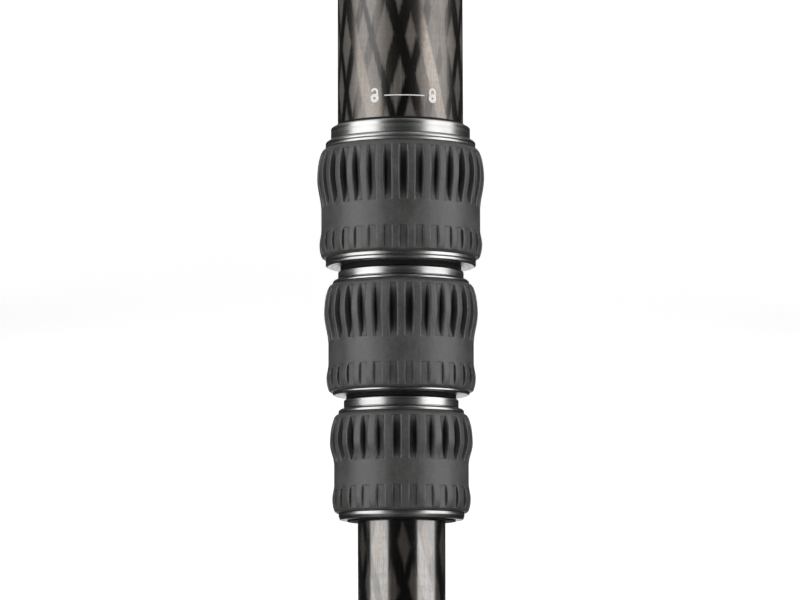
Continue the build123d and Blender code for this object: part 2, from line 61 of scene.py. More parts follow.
millimetre = 0.001
legs = ("front", "right", "left")
nodes = frame["nodes"]
joints = {joint["name"]: joint for joint in frame["joints"]}


def legPlace(leg):
    hinge = joints[leg + "_leg_hinge"]
    across = -Vector(hinge["axis"])
    up = -Vector(joints[leg + "_section_2_slide"]["axis"])
    inward = up.cross(across)
    turn = Matrix((across, inward, up)).transposed().to_4x4()
    return Matrix.Translation(Vector(hinge["pos_m"])) @ turn


legPlaces = {leg: legPlace(leg) for leg in legs}


def legSpan(node):  # lowest and highest point, widest radius and lower-end radius of a front leg node
    toLeg = legPlaces["front"].inverted()
    points = [toLeg @ vert.co / millimetre for vert in nodes["front_" + node].data.vertices]
    low = min(point.z for point in points)
    high = max(point.z for point in points)
    wide = max(math.hypot(point.x, point.y) for point in points)
    lowEnd = max(math.hypot(point.x, point.y) for point in points if point.z < low + 1)
    return {"low": low, "high": high, "wide": wide, "lowEnd": lowEnd}


# Shader groups


def newGroup(name, inputs, outputs):
    group = bpy.data.node_groups.new(name, "ShaderNodeTree")
    for title, kind, value in inputs:
        socket = group.interface.new_socket(title, in_out="INPUT", socket_type=kind)
        if value is not None:
            socket.default_value = value
    for title, kind in outputs:
        group.interface.new_socket(title, in_out="OUTPUT", socket_type=kind)
    return group, group.nodes.new("NodeGroupInput").outputs, group.nodes.new("NodeGroupOutput").inputs


def fillInputs(tree, node, values):
    for key, value in values.items():
        if isinstance(value, bpy.types.NodeSocket):
            tree.links.new(value, node.inputs[key])
        else:
            node.inputs[key].default_value = value


def addNode(tree, kind, inputs=None, **settings):
    node = tree.nodes.new(kind)
    for key, value in settings.items():
        setattr(node, key, value)
    fillInputs(tree, node, inputs or {})
    return node


def math2(tree, operation, a, b=0.0, c=0.0, clamp=False):
    node = addNode(tree, "ShaderNodeMath", {0: a, 1: b, 2: c}, operation=operation)
    node.use_clamp = clamp
    return node.outputs[0]


def mapRange(tree, value, fromLow, fromHigh, toLow=0.0, toHigh=1.0, smooth=False):
    kind = "SMOOTHSTEP" if smooth else "LINEAR"
    inputs = {"Value": value, "From Min": fromLow, "From Max": fromHigh, "To Min": toLow, "To Max": toHigh}
    return addNode(tree, "ShaderNodeMapRange", inputs, interpolation_type=kind).outputs[0]


def mixColour(tree, share, a, b, blend="MIX"):
    inputs = {0: share, 6: a, 7: b}
    return addNode(tree, "ShaderNodeMix", inputs, data_type="RGBA", blend_type=blend).outputs[2]


def mixValue(tree, share, a, b):
    return addNode(tree, "ShaderNodeMix", {0: share, 2: a, 3: b}, data_type="FLOAT").outputs[0]


def noise(tree, place, scale, detail):
    inputs = {"Vector": place, "Scale": scale, "Detail": detail}
    return addNode(tree, "ShaderNodeTexNoise", inputs).outputs["Fac"]


def noiseAlong(tree, distance, detail):
    inputs = {"W": distance, "Scale": 1.0, "Detail": detail}
    return addNode(tree, "ShaderNodeTexNoise", inputs, noise_dimensions="1D").outputs["Fac"]


noiseSpan = (0.3, 0.7)  # where most of a noise's values lie


def grainGroup():  # fine pebbled height and a broad soft mottling, both 0 to 1
    inputs = [("Place", "NodeSocketVector", None)]
    inputs += [("Fine", "NodeSocketFloat", 4.0), ("Broad", "NodeSocketFloat", 0.1)]
    outputs = [("Height", "NodeSocketFloat"), ("Mottle", "NodeSocketFloat")]
    group, given, out = newGroup("surfaceGrain", inputs, outputs)
    fine = noise(group, given["Place"], given["Fine"], 3.0)
    broad = noise(group, given["Place"], given["Broad"], 4.0)
    group.links.new(fine, out["Height"])
    group.links.new(mapRange(group, broad, *noiseSpan), out["Mottle"])
    return group


def turningGroup():  # fine tool lines, each at one distance along or round the turned axis
    inputs = [("Along", "NodeSocketFloat", 0.0), ("Pitch", "NodeSocketFloat", 0.1)]
    outputs = [("Height", "NodeSocketFloat"), ("Shade", "NodeSocketFloat")]
    group, given, out = newGroup("turningLines", inputs, outputs)
    step = math2(group, "DIVIDE", given["Along"], given["Pitch"])
    slow = math2(group, "MULTIPLY", step, 0.11)
    group.links.new(noiseAlong(group, step, 2.0), out["Height"])
    group.links.new(noiseAlong(group, slow, 1.0), out["Shade"])
    return group


grain = grainGroup()
turning = turningGroup()


def placeGroup(tree, group, **inputs):
    return addNode(tree, "ShaderNodeGroup", inputs, node_tree=group).outputs


def blankMaterial(name):
    material = bpy.data.materials.new(name)
    material.use_nodes = True
    material.node_tree.nodes.clear()
    return material, material.node_tree


def newMaterial(name):
    material, tree = blankMaterial(name)
    shader = addNode(tree, "ShaderNodeBsdfPrincipled")
    output = addNode(tree, "ShaderNodeOutputMaterial", {"Surface": shader.outputs[0]})
    output.target = "ALL"
    return material, tree, shader


def setInputs(tree, shader, **values):
    fillInputs(tree, shader, {title.replace("_", " "): value for title, value in values.items()})


def legCoordinates(tree):  # millimetres in the leg's own place, kept on each leg piece
    return addNode(tree, "ShaderNodeAttribute", attribute_name="place").outputs["Vector"]


def objectCoordinates(tree):  # millimetres from the tripod's origin
    coordinates = addNode(tree, "ShaderNodeTexCoord").outputs["Object"]
    return addNode(tree, "ShaderNodeMapping", {"Vector": coordinates, "Scale": (1000, 1000, 1000)}).outputs[0]


def splitPlace(tree, place):  # the three coordinates, and the distance from the z axis
    parts = addNode(tree, "ShaderNodeSeparateXYZ", {0: place}).outputs
    flat = addNode(tree, "ShaderNodeCombineXYZ", {"X": parts["X"], "Y": parts["Y"]}).outputs[0]
    return parts, addNode(tree, "ShaderNodeVectorMath", {0: flat}, operation="LENGTH").outputs["Value"]


def bump(tree, height, distance, strength=1.0):
    inputs = {"Height": height, "Distance": distance * millimetre, "Strength": strength}
    return addNode(tree, "ShaderNodeBump", inputs).outputs[0]


# Materials

carbonLook = {
    "ground": (0.138, 0.122, 0.109, 1),
    "tapesPerRadius": 16 / 18,  # tapes round the tube for each millimetre of its radius
    "rise": 0.038,  # tapes crossed for each millimetre along the tube
    "phases": {1: 0.916, -1: 0.28},
    "tapeHalfWidths": (0.15, 0.29),
    "wander": 0.16,  # how far the tapes lie off an even spacing, as a share of it
    "softEdge": 0.085,
    "ragged": 0.075,
    "fibresPerTape": 22.0,
    "fibreStretch": 0.05,
    "span": (12.5, 18.0),  # radius of the polished bottom tube and of the satin top tube
    "tape": ((0.075, 0.072, 0.07, 1), (0.034, 0.033, 0.032, 1)),
    "paleTape": ((0.14, 0.134, 0.13, 1), (0.165, 0.145, 0.126, 1)),
    "groundMetal": (0.65, 0.35),
    "tapeRoughness": (0.14, 0.24),
    "groundRoughness": (0.18, 0.42),
    "coatRoughness": (0.17, 0.34),
    "coatWeight": (1.0, 0.42),
    "grain": {"Fine": 1.4, "Broad": 0.05},
    "ringPitch": 0.22,
    "streak": (0.8, 1.15),  # these four multiply the colour
    "cloud": (0.82, 1.08),
    "speck": (0.88, 1.1),
    "ringShade": (0.94, 1.05),
    "fibreHeight": 0.6,
    "ringHeight": 0.4,
    "bump": 0.01,
}


def tapeFamily(tree, turns, along, count, fibres, hand, seed):
    look = carbonLook
    climb = math2(tree, "MULTIPLY_ADD", along, hand * look["rise"], look["phases"][hand])
    across = math2(tree, "MULTIPLY_ADD", turns, count, climb)
    index = math2(tree, "FLOORED_MODULO", math2(tree, "FLOOR", across), count)
    inBand = math2(tree, "FRACT", across)
    numbered = {"W": math2(tree, "ADD", index, seed)}
    mark = addNode(tree, "ShaderNodeTexWhiteNoise", numbered, noise_dimensions="1D").outputs["Value"]
    half = mapRange(tree, mark, 0, 1, *look["tapeHalfWidths"])
    other = math2(tree, "FRACT", math2(tree, "MULTIPLY", mark, 7.3))  # a second value from the same draw
    wander = look["wander"] / 2
    middle = mapRange(tree, other, 0, 1, 0.5 - wander, 0.5 + wander)
    offCentre = math2(tree, "ABSOLUTE", math2(tree, "SUBTRACT", inBand, middle))
    ragged = mapRange(tree, fibres, *noiseSpan, -look["ragged"] / 2, look["ragged"] / 2)
    edge = math2(tree, "SUBTRACT", math2(tree, "ADD", offCentre, ragged), half)
    mask = mapRange(tree, edge, look["softEdge"], -look["softEdge"], smooth=True)
    return mask, mark


def carbonMaterial():
    look = carbonLook
    material, tree, shader = newMaterial("carbonFibre")
    place = legCoordinates(tree)
    parts, radius = splitPlace(tree, place)
    angle = math2(tree, "ARCTAN2", parts["X"], math2(tree, "MULTIPLY", parts["Y"], -1.0))
    turns = math2(tree, "DIVIDE", angle, math.tau)
    count = math2(tree, "ROUND", math2(tree, "MULTIPLY", radius, look["tapesPerRadius"]))
    fibreX = math2(tree, "MULTIPLY", turns, math2(tree, "MULTIPLY", count, look["fibresPerTape"]))
    fibreZ = math2(tree, "MULTIPLY", parts["Z"], look["fibreStretch"])
    strands = addNode(tree, "ShaderNodeCombineXYZ", {"X": fibreX, "Y": fibreZ}).outputs[0]
    fibres = noise(tree, strands, 1.0, 3.0)
    rightMask, rightMark = tapeFamily(tree, turns, parts["Z"], count, fibres, 1, 3)
    leftMask, leftMark = tapeFamily(tree, turns, parts["Z"], count, fibres, -1, 11)
    tape = math2(tree, "MAXIMUM", rightMask, leftMask)
    mark = mixValue(tree, rightMask, leftMark, rightMark)
    mottle = placeGroup(tree, grain, Place=place, **look["grain"])
    rings = placeGroup(tree, turning, Along=parts["Z"], Pitch=look["ringPitch"])
    width = mapRange(tree, radius, *look["span"])
    darkTape = mixColour(tree, width, *look["tape"])
    paleTape = mixColour(tree, width, *look["paleTape"])
    tapeColour = mixColour(tree, math2(tree, "POWER", mark, 2.0), darkTape, paleTape)
    colour = mixColour(tree, tape, look["ground"], tapeColour)
    shade = mapRange(tree, fibres, *noiseSpan, *look["streak"])
    cloud = mapRange(tree, mottle["Mottle"], 0, 1, *look["cloud"])
    speck = mapRange(tree, mottle["Height"], *noiseSpan, *look["speck"])
    ringShade = mapRange(tree, rings["Shade"], *noiseSpan, *look["ringShade"])
    for part in (cloud, speck, ringShade):
        shade = math2(tree, "MULTIPLY", shade, part)
    grey = addNode(tree, "ShaderNodeCombineColor", {0: shade, 1: shade, 2: shade}).outputs[0]
    colour = mixColour(tree, 1.0, colour, grey, "MULTIPLY")
    groundMetal, groundRough, tapeRough, coatRough, coat = (
        mapRange(tree, width, 0, 1, *look[title])
        for title in ("groundMetal", "groundRoughness", "tapeRoughness", "coatRoughness", "coatWeight")
    )
    metal = mapRange(tree, tape, 0, 1, groundMetal, 1.0)
    rough = mapRange(tree, tape, 0, 1, groundRough, tapeRough)
    ringHeight = math2(tree, "MULTIPLY", rings["Height"], look["ringHeight"])
    height = math2(tree, "MULTIPLY_ADD", fibres, look["fibreHeight"], ringHeight)
    finish = bump(tree, height, look["bump"])
    setInputs(
        tree, shader, Base_Color=colour, Metallic=metal, Roughness=rough, Normal=finish,
        Coat_Weight=coat, Coat_Roughness=coatRough, Coat_IOR=1.5,
    )
    return material


rubberLook = {
    "dark": (0.035, 0.035, 0.034, 1),
    "light": (0.077, 0.076, 0.075, 1),
    # painted shade: the near-black that the deep flute floors are darkened to
    "fluteShadeColour": (0.010, 0.010, 0.010, 1),
    "fluteShadeDepths": (0.6, 1.95),
    "rough": (0.40, 0.52),
    "texture": {"Fine": 3.2, "Broad": 0.16},
    "speckle": {"Fine": 8.0, "Broad": 1.1},
    "speckleShare": 0.45,
    "bumps": (0.04, 0.7),
}


def rubberMaterial():
    look = rubberLook
    material, tree, shader = newMaterial("gripRubber")
    place = legCoordinates(tree)
    texture = placeGroup(tree, grain, Place=place, **look["texture"])
    speckle = placeGroup(tree, grain, Place=place, **look["speckle"])
    depth = addNode(tree, "ShaderNodeAttribute", attribute_name="depth").outputs["Fac"]
    tone = mixValue(tree, look["speckleShare"], texture["Mottle"], speckle["Mottle"])
    colour = mixColour(tree, tone, look["dark"], look["light"])
    # painted shade: darker towards the deepest part of each flute
    fluteShadeShare = mapRange(tree, depth, *look["fluteShadeDepths"], smooth=True)
    colour = mixColour(tree, fluteShadeShare, colour, look["fluteShadeColour"])
    rough = mapRange(tree, texture["Mottle"], 0, 1, *look["rough"])
    finish = bump(tree, texture["Height"], *look["bumps"])
    setInputs(tree, shader, Base_Color=colour, Roughness=rough, Normal=finish)
    return material


turnedLook = {
    "gunmetal": {
        "dark": (0.27, 0.268, 0.265, 1), "light": (0.35, 0.348, 0.345, 1), "rough": (0.27, 0.35),
    },
    "blackAnodised": {
        "dark": (0.035, 0.035, 0.04, 1), "light": (0.055, 0.055, 0.06, 1), "rough": (0.28, 0.42),
    },
}


turnedFinish = {
    "pitch": 0.09, "grain": {"Fine": 5.0, "Broad": 0.12}, "grainShare": 0.3, "bumps": (0.004, 0.6),
}


def turnedMaterial(name, onLeg):
    look = turnedLook[name]
    material, tree, shader = newMaterial(name)
    place = legCoordinates(tree) if onLeg else objectCoordinates(tree)
    parts, radius = splitPlace(tree, place)
    along = math2(tree, "ADD", parts["Z"], radius)
    lines = placeGroup(tree, turning, Along=along, Pitch=turnedFinish["pitch"])
    texture = placeGroup(tree, grain, Place=place, **turnedFinish["grain"])
    colour = mixColour(tree, texture["Mottle"], look["dark"], look["light"])
    rough = mapRange(tree, lines["Shade"], *noiseSpan, *look["rough"])
    height = math2(tree, "MULTIPLY_ADD", texture["Height"], turnedFinish["grainShare"], lines["Height"])
    finish = bump(tree, height, *turnedFinish["bumps"])
    setInputs(tree, shader, Base_Color=colour, Metallic=1.0, Roughness=rough, Normal=finish)
    return material


# Materials with nothing but grain: its fine and broad scale, two tones, the roughness and what it
# follows, the depth and strength of the bumps, and the shader's uniform values

grainLooks = {
    "steel": {
        "grain": (2.2, 0.35), "dark": (0.43, 0.43, 0.44, 1), "light": (0.56, 0.56, 0.57, 1),
        "rough": (0.24, 0.36), "bumps": (0.006, 0.5), "values": {"Metallic": 1.0},
    },
    "castCoat": {
        "grain": (2.4, 0.07), "dark": (0.022, 0.022, 0.023, 1), "light": (0.042, 0.042, 0.043, 1),
        "rough": (0.48, 0.6), "bumps": (0.06, 0.7),
    },
    "nylon": {
        "grain": (3.0, 0.2), "dark": (0.03, 0.03, 0.03, 1), "light": (0.05, 0.05, 0.05, 1),
        "rough": (0.4, 0.5),
    },
    # near-black for the dust seals and the level's circle, and for the bead that paints a shadow line above the
    # first collar
    "blackSealAndPaintedShadow": {
        "grain": (3.0, 0.3), "dark": (0.006, 0.006, 0.006, 1), "light": (0.012, 0.012, 0.012, 1),
        "rough": (0.5, 0.65), "roughBy": "Height", "values": {"Specular_IOR_Level": 0.12},
    },
    "whitePrint": {
        "grain": (9.0, 1.2), "dark": (0.80, 0.79, 0.77, 1), "light": (0.93, 0.93, 0.92, 1),
        "rough": (0.4, 0.6), "roughBy": "Height",
    },
    "levelFluid": {
        "grain": (1.0, 0.3), "dark": (0.60, 0.78, 0.16, 1), "light": (0.70, 0.86, 0.24, 1),
        "values": {"Roughness": 0.08, "Coat_Weight": 1.0, "Coat_Roughness": 0.03},
    },
    "levelGlass": {
        "grain": (2.0, 0.5), "rough": (0.02, 0.05),
        "values": {"Base_Color": (0.97, 1.0, 0.96, 1), "Transmission_Weight": 1.0, "IOR": 1.45},
    },
}


def grainMaterial(name, onLeg=False):
    look = grainLooks[name]
    material, tree, shader = newMaterial(name)
    place = legCoordinates(tree) if onLeg else objectCoordinates(tree)
    fine, broad = look["grain"]
    texture = placeGroup(tree, grain, Place=place, Fine=fine, Broad=broad)
    setInputs(tree, shader, **look.get("values", {}))
    if "dark" in look:
        setInputs(tree, shader, Base_Color=mixColour(tree, texture["Mottle"], look["dark"], look["light"]))
    if "rough" in look:
        follows = texture[look.get("roughBy", "Mottle")]
        setInputs(tree, shader, Roughness=mapRange(tree, follows, 0, 1, *look["rough"]))
    if "bumps" in look:
        setInputs(tree, shader, Normal=bump(tree, texture["Height"], *look["bumps"]))
    return material


carbon = carbonMaterial()
rubber = rubberMaterial()
legMetal = turnedMaterial("gunmetal", True)
platformMetal = turnedMaterial("blackAnodised", False)
steel = grainMaterial("steel")
castCoat = grainMaterial("castCoat")
nylon = grainMaterial("nylon")
blackSealAndPaintedShadow = grainMaterial("blackSealAndPaintedShadow", True)
whitePrint = grainMaterial("whitePrint", True)
levelFluid = grainMaterial("levelFluid")
levelGlass = grainMaterial("levelGlass")
print("materials ready:", len(bpy.data.materials))


# Modelling helpers


def rounded(bm, geom, width, segments, affect="EDGES", clamped=True):
    bmesh.ops.bevel(
        bm, geom=geom, offset=width, offset_type="OFFSET", segments=segments, profile=0.5,
        affect=affect, clamp_overlap=clamped, material=-1,
    )


def turnVerts(bm, verts, angle):  # round the z axis
    bmesh.ops.rotate(bm, verts=verts, matrix=Matrix.Rotation(angle, 3, "Z"))


def flatSheet(width, height, segments=1):
    bm = bmesh.new()
    bmesh.ops.create_grid(bm, x_segments=segments, y_segments=1, size=0.5)
    bmesh.ops.scale(bm, vec=(width, height, 1), verts=bm.verts)
    return bm


def drawOutline(bm, corners, closed=True):  # corners are (radius, height, rounding)
    verts = [bm.verts.new((radius, 0, height)) for radius, height, rounding in corners]
    for first, second in zip(verts, verts[1:]):
        bm.edges.new((first, second))
    if closed:
        bm.edges.new((verts[-1], verts[0]))
    for width in sorted({corner[2] for corner in corners if corner[2]}):
        chosen = [vert for vert, corner in zip(verts, corners) if corner[2] == width]
        rounded(bm, chosen, width, 3, "VERTICES")


def closeUp(bm, gap=0.0005):
    bmesh.ops.remove_doubles(bm, verts=bm.verts, dist=gap)
    bmesh.ops.dissolve_degenerate(bm, edges=bm.edges, dist=gap)
    bmesh.ops.recalc_face_normals(bm, faces=bm.faces)


def spun(bm, geom, angle, steps, centre=(0, 0, 0), **settings):
    done = bmesh.ops.spin(bm, geom=geom, cent=centre, axis=(0, 0, 1), angle=angle, steps=steps, **settings)
    return done["geom_last"]


def vertsIn(geom):
    return [item for item in geom if isinstance(item, bmesh.types.BMVert)]


def turnOutline(bm, steps, angle=math.tau):
    spun(bm, bm.verts[:] + bm.edges[:], angle, steps, use_merge=angle == math.tau)


def lathed(corners, steps=96, closed=True):
    bm = bmesh.new()
    drawOutline(bm, corners, closed)
    turnOutline(bm, steps)
    closeUp(bm)
    return bm


def newObject(name, data):
    added = bpy.data.objects.new(name, data)
    bpy.context.scene.collection.objects.link(added)
    return added


def finishMesh(bm, name, sharpAngle=38):
    mesh = bpy.data.meshes.new(name)
    bm.to_mesh(mesh)
    bm.free()
    mesh.polygons.foreach_set("use_smooth", [True] * len(mesh.polygons))
    mesh.set_sharp_from_angle(angle=math.radians(sharpAngle))
    return mesh


def addPiece(name, mesh, body, material, slotName, standsFor=()):
    piece = newObject(name, mesh)
    mesh.materials.append(material)
    piece.modifiers.new("weightedNormal", "WEIGHTED_NORMAL").keep_sharp = True
    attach(piece, body)
    if standsFor:
        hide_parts(*standsFor)
    return piece


def keepPlace(mesh, winding):  # the leg place, turned and shifted to where a tube's winding starts
    attribute = mesh.attributes.new("place", "FLOAT_VECTOR", "POINT")
    turn = Matrix.Rotation(math.radians(winding[0]), 4, "Z")
    shift = Matrix.Translation((0, 0, winding[1])) @ turn
    for vert, item in zip(mesh.vertices, attribute.data):
        item.vector = shift @ vert.co


def addLegPieces(name, bm, body, material, slotName, standsFor=(), winding=(0, 0)):
    shape = finishMesh(bm, name)
    keepPlace(shape, winding)
    for leg in legs:
        mesh = shape.copy()
        mesh.name = f"{leg}_{name}"
        mesh.transform(legPlaces[leg] @ Matrix.Scale(millimetre, 4))
        replaced = [f"{leg}_{node}" for node in standsFor]
        addPiece(mesh.name, mesh, f"{leg}_{body}", material, slotName, replaced)
    bpy.data.meshes.remove(shape)


# Leg tubes with their guide shims

tube = {
    "wall": 1.2,
    "endRounding": 0.25,
    "shimTop": 2.0,
    "shimLength": 25.0,
    "shimArc": 150.0,
    "shimGap": 0.1,
    "slideGap": 0.15,
    "windings": ((0, 0), (40, 0), (75, 0), (-5.8, -0.3)),
}
tubeSpans = [legSpan(f"tube_{number}") for number in (1, 2, 3, 4)]


def tubeShape(span):
    outer, inner = span["lowEnd"], span["lowEnd"] - tube["wall"]
    low, high, soft = span["low"], span["high"], tube["endRounding"]
    outline = [(inner, high, soft), (outer, high, soft), (outer, low, soft), (inner, low, soft)]
    return lathed(outline, steps=128)


def shimShape(span, outer):
    bm = bmesh.new()
    inner = span["lowEnd"] + tube["shimGap"]
    top = span["high"] - tube["shimTop"]
    low = top - tube["shimLength"]
    drawOutline(bm, [(inner, top, 0), (outer, top, 0.2), (outer, low, 0.2), (inner, low, 0)])
    turnVerts(bm, bm.verts, math.radians(-tube["shimArc"] / 2))
    turnOutline(bm, 30, math.radians(tube["shimArc"]))
    bmesh.ops.holes_fill(bm, edges=[edge for edge in bm.edges if edge.is_boundary], sides=0)
    turned = bmesh.ops.duplicate(bm, geom=bm.verts[:] + bm.edges[:] + bm.faces[:])
    turnVerts(bm, vertsIn(turned["geom"]), math.pi)
    closeUp(bm)
    return bm


tubeBodies = ("leg", "section_2", "section_3", "section_4")
for number, (span, body) in enumerate(zip(tubeSpans, tubeBodies), 1):
    addLegPieces(
        f"carbonTube_{number}", tubeShape(span), body, carbon, "carbon_tube", [f"tube_{number}"],
        tube["windings"][number - 1],
    )
    if number > 1:
        shape = shimShape(span, tubeSpans[number - 2]["lowEnd"] - tube["wall"] - tube["slideGap"])
        addLegPieces(f"guideShims_{number}", shape, body, nylon, "nylon")
print("tubes ready")


# Twist locks: collar, collet, nut and fluted rubber grip

lock = {
    "collarRise": 1.95,
    "collarChamfer": 0.3,
    "collarLift": (-0.6, 0.35, 0.2),
    "softMetal": 0.18,
    "threadRise": 1.4,
    "nutGap": 0.3,
    "nutLift": (0.3, 0.3, 0.2),
    "lipBevel": 0.3,
    "rimRise": 3.5,
    "rimChamfer": 0.5,
    "bandRecess": 0.5,
    "lowerBevels": ((0.5, 0.35), (0.5, 0.35), (0.38, 1.05)),
    "lipHeight": 3.0,
    "lipClearance": 0.3,
    "rimGroove": 0.35,
    "grooveAbove": 1.1,
    "grooveBelow": 1.15,
    "widestPlainRim": 2.0,
    "plainBelow": 1.5,
    "tubeGap": 0.05,
    "threadGap": 0.08,
}
collet = {"height": 10.0, "cone": 6.0, "gap": 0.1, "play": 0.2, "throatWall": 0.55, "mouthWall": 0.75}


def collarShape(tubeRadius, top, ringLow, sleeveLow, seat):
    bore = tubeRadius + lock["tubeGap"]
    thread = tubeRadius + lock["threadRise"]
    ring = tubeRadius + lock["collarRise"]
    bevelled, soft = lock["collarChamfer"], lock["softMetal"]
    return lathed([
        (bore, top, 0),
        (ring - bevelled, top, soft / 2),
        (ring, top - bevelled, soft / 2),
        (ring, ringLow, soft / 2),
        (thread, ringLow, 0),
        (thread, sleeveLow, soft),
        (thread - collet["mouthWall"], sleeveLow, 0),
        (tubeRadius - collet["throatWall"], seat, 0),
        (bore, seat, 0),
    ], steps=128)


def colletShape(tubeRadius, innerTube, sleeveLow, seat):
    play = collet["play"]
    bore = innerTube + collet["gap"]
    low = sleeveLow - collet["height"] + play
    flange = tubeRadius + lock["threadRise"] - play
    return lathed([
        (bore, seat - play, 0),
        (tubeRadius - collet["throatWall"] - play, seat - play, 0),
        (tubeRadius + lock["threadRise"] - collet["mouthWall"] - play, sleeveLow, 0),
        (flange, sleeveLow - play, 0.15),
        (flange, low, 0.15),
        (bore, low, 0),
    ], steps=96)


def rimGroove(rim, middle):
    cut, soft = lock["rimGroove"], lock["softMetal"] / 2
    return [(rim, middle + cut / 2, soft), (rim - cut, middle, 0), (rim, middle - cut / 2, soft)]


def nutShape(tubeRadius, innerTube, nutTop, gripTop, gripLow, nutLow, lowerBevel):
    rim = tubeRadius + lock["rimRise"]
    band = rim - lock["bandRecess"]
    thread = tubeRadius + lock["threadRise"] + lock["threadGap"]
    bore = innerTube + lock["lipClearance"]
    bevelled, soft = lock["rimChamfer"], lock["softMetal"]
    outline = [(thread, nutTop, soft), (rim - bevelled, nutTop, soft), (rim, nutTop - bevelled, soft)]
    if nutTop - gripTop > lock["widestPlainRim"]:
        outline += rimGroove(rim, gripTop + lock["grooveAbove"])
    lip = lock["lipBevel"]
    outline += [(rim, gripTop + lip, soft / 2), (rim - lip, gripTop, 0), (band, gripTop, 0)]
    outline += [(band, gripLow, 0), (rim, gripLow, soft)]
    if gripLow - nutLow > lowerBevel[1] + lock["plainBelow"]:
        outline += rimGroove(rim, gripLow - lock["grooveBelow"])
    outline += [
        (rim, nutLow + lowerBevel[1], soft),
        (rim - lowerBevel[0], nutLow, soft),
        (bore, nutLow, soft),
        (bore, nutLow + lock["lipHeight"], 0),
        (thread, nutLow + lock["lipHeight"], 0),
    ]
    return lathed(outline, steps=128)


# the dust seals, and the dark bead that paints a shadow line above the first collar
sealAndShadowLine = {
    "gap": 0.05,
    "rises": (1.3, 1.3, 2.9),
    "depths": (1.25, 1.05, 0.45),
    "hidden": 1.0,
    "rounding": 0.12,
    "beadRise": 0.45,
    "beadHeight": 0.8,
}


def sealShape(innerTube, nutLow, rise, depth):  # the dark wiping ring that shows under a nut
    inner, outer, soft = innerTube + sealAndShadowLine["gap"], innerTube + rise, sealAndShadowLine["rounding"]
    low = nutLow - depth
    high = nutLow + sealAndShadowLine["hidden"]
    return lathed([(inner, high, 0), (outer, high, 0), (outer, low, soft), (inner, low, soft)])


def beadShape(tubeRadius, collarTop):  # a dark ring round the tube on the first collar: a painted shadow line where the tube meets the collar
    inner, outer = tubeRadius + sealAndShadowLine["gap"] / 2, tubeRadius + sealAndShadowLine["beadRise"]
    top = collarTop + sealAndShadowLine["beadHeight"]
    outline = [(inner, top, 0), (outer, top, sealAndShadowLine["rounding"]), (outer, collarTop, 0), (inner, collarTop, 0)]
    return lathed(outline)


grip = {
    "lift": (0.3, 0.5, 0.3),
    "topDrop": 2.3,
    "crestDepth": 8.4,
    "waistDrop": 1.2,
    "waistStart": 13.7,
    "waistMiddle": 11.2,
    "waistEnd": 8.0,
    "beadHeight": 4.2,
    "beadDrop": 0.65,
    "footDrop": 1.9,
    "fluteWidth": 2.45,
    "fluteLow": 14.45,
    "fluteMargin": 1.6,
    "fluteDepth": 2.0,
    "slotLow": 0.9,
    "slotHigh": 7.0,
    "slotDepth": 0.75,
    "endDepth": 0.3,
    "scoop": 0.7,  # lower where the floor falls faster from its ends
    "fluteFloor": 0.6,  # width of the floor in that of the mouth
    "slotFloor": 0.88,
    "ribRounding": 0.28,
    "edgeStep": 0.35,
    "topStep": 0.9,
    "boreGap": 0.05,
    "faceSkin": 0.4,  # faces and edges this far outside the bore are on the grip's outer surface
    "edgeSkin": 0.3,
    "rimAngle": 50,
    "rimMargin": 0.5,
    "fluteCounts": (32, 29, 26),
    "fluteOffsets": (2.0, 6.4, -3.8),  # degrees from the front to the nearest flute
    "halfRibSteps": 2,
    "fluteSteps": 2,
}


def eased(share):
    return share * share * (3 - 2 * share)


def roundedFall(share):  # how far a quarter circle has fallen at this share of its width
    return 1 - math.sqrt(max(0, 1 - share * share))


def gripRadius(height, length, crest):  # the barrel, waist and bead, by height above the lower edge
    crestHeight = length - grip["crestDepth"]
    waist = crest - grip["waistDrop"]
    bead = crest - grip["beadDrop"]
    if height >= crestHeight:
        return crest - grip["topDrop"] * roundedFall((height - crestHeight) / grip["crestDepth"])
    if height >= grip["waistStart"]:
        share = (height - grip["waistStart"]) / (crestHeight - grip["waistStart"])
        return waist + (crest - waist) * eased(share)
    if height >= grip["waistEnd"]:
        return waist
    if height >= grip["beadHeight"]:
        share = (height - grip["beadHeight"]) / (grip["waistEnd"] - grip["beadHeight"])
        return bead + (waist - bead) * eased(share)
    return bead - (grip["footDrop"] - grip["beadDrop"]) * roundedFall(1 - height / grip["beadHeight"])


def evenHeights(low, high, count):
    return [low + (high - low) * step / count for step in range(count + 1)]


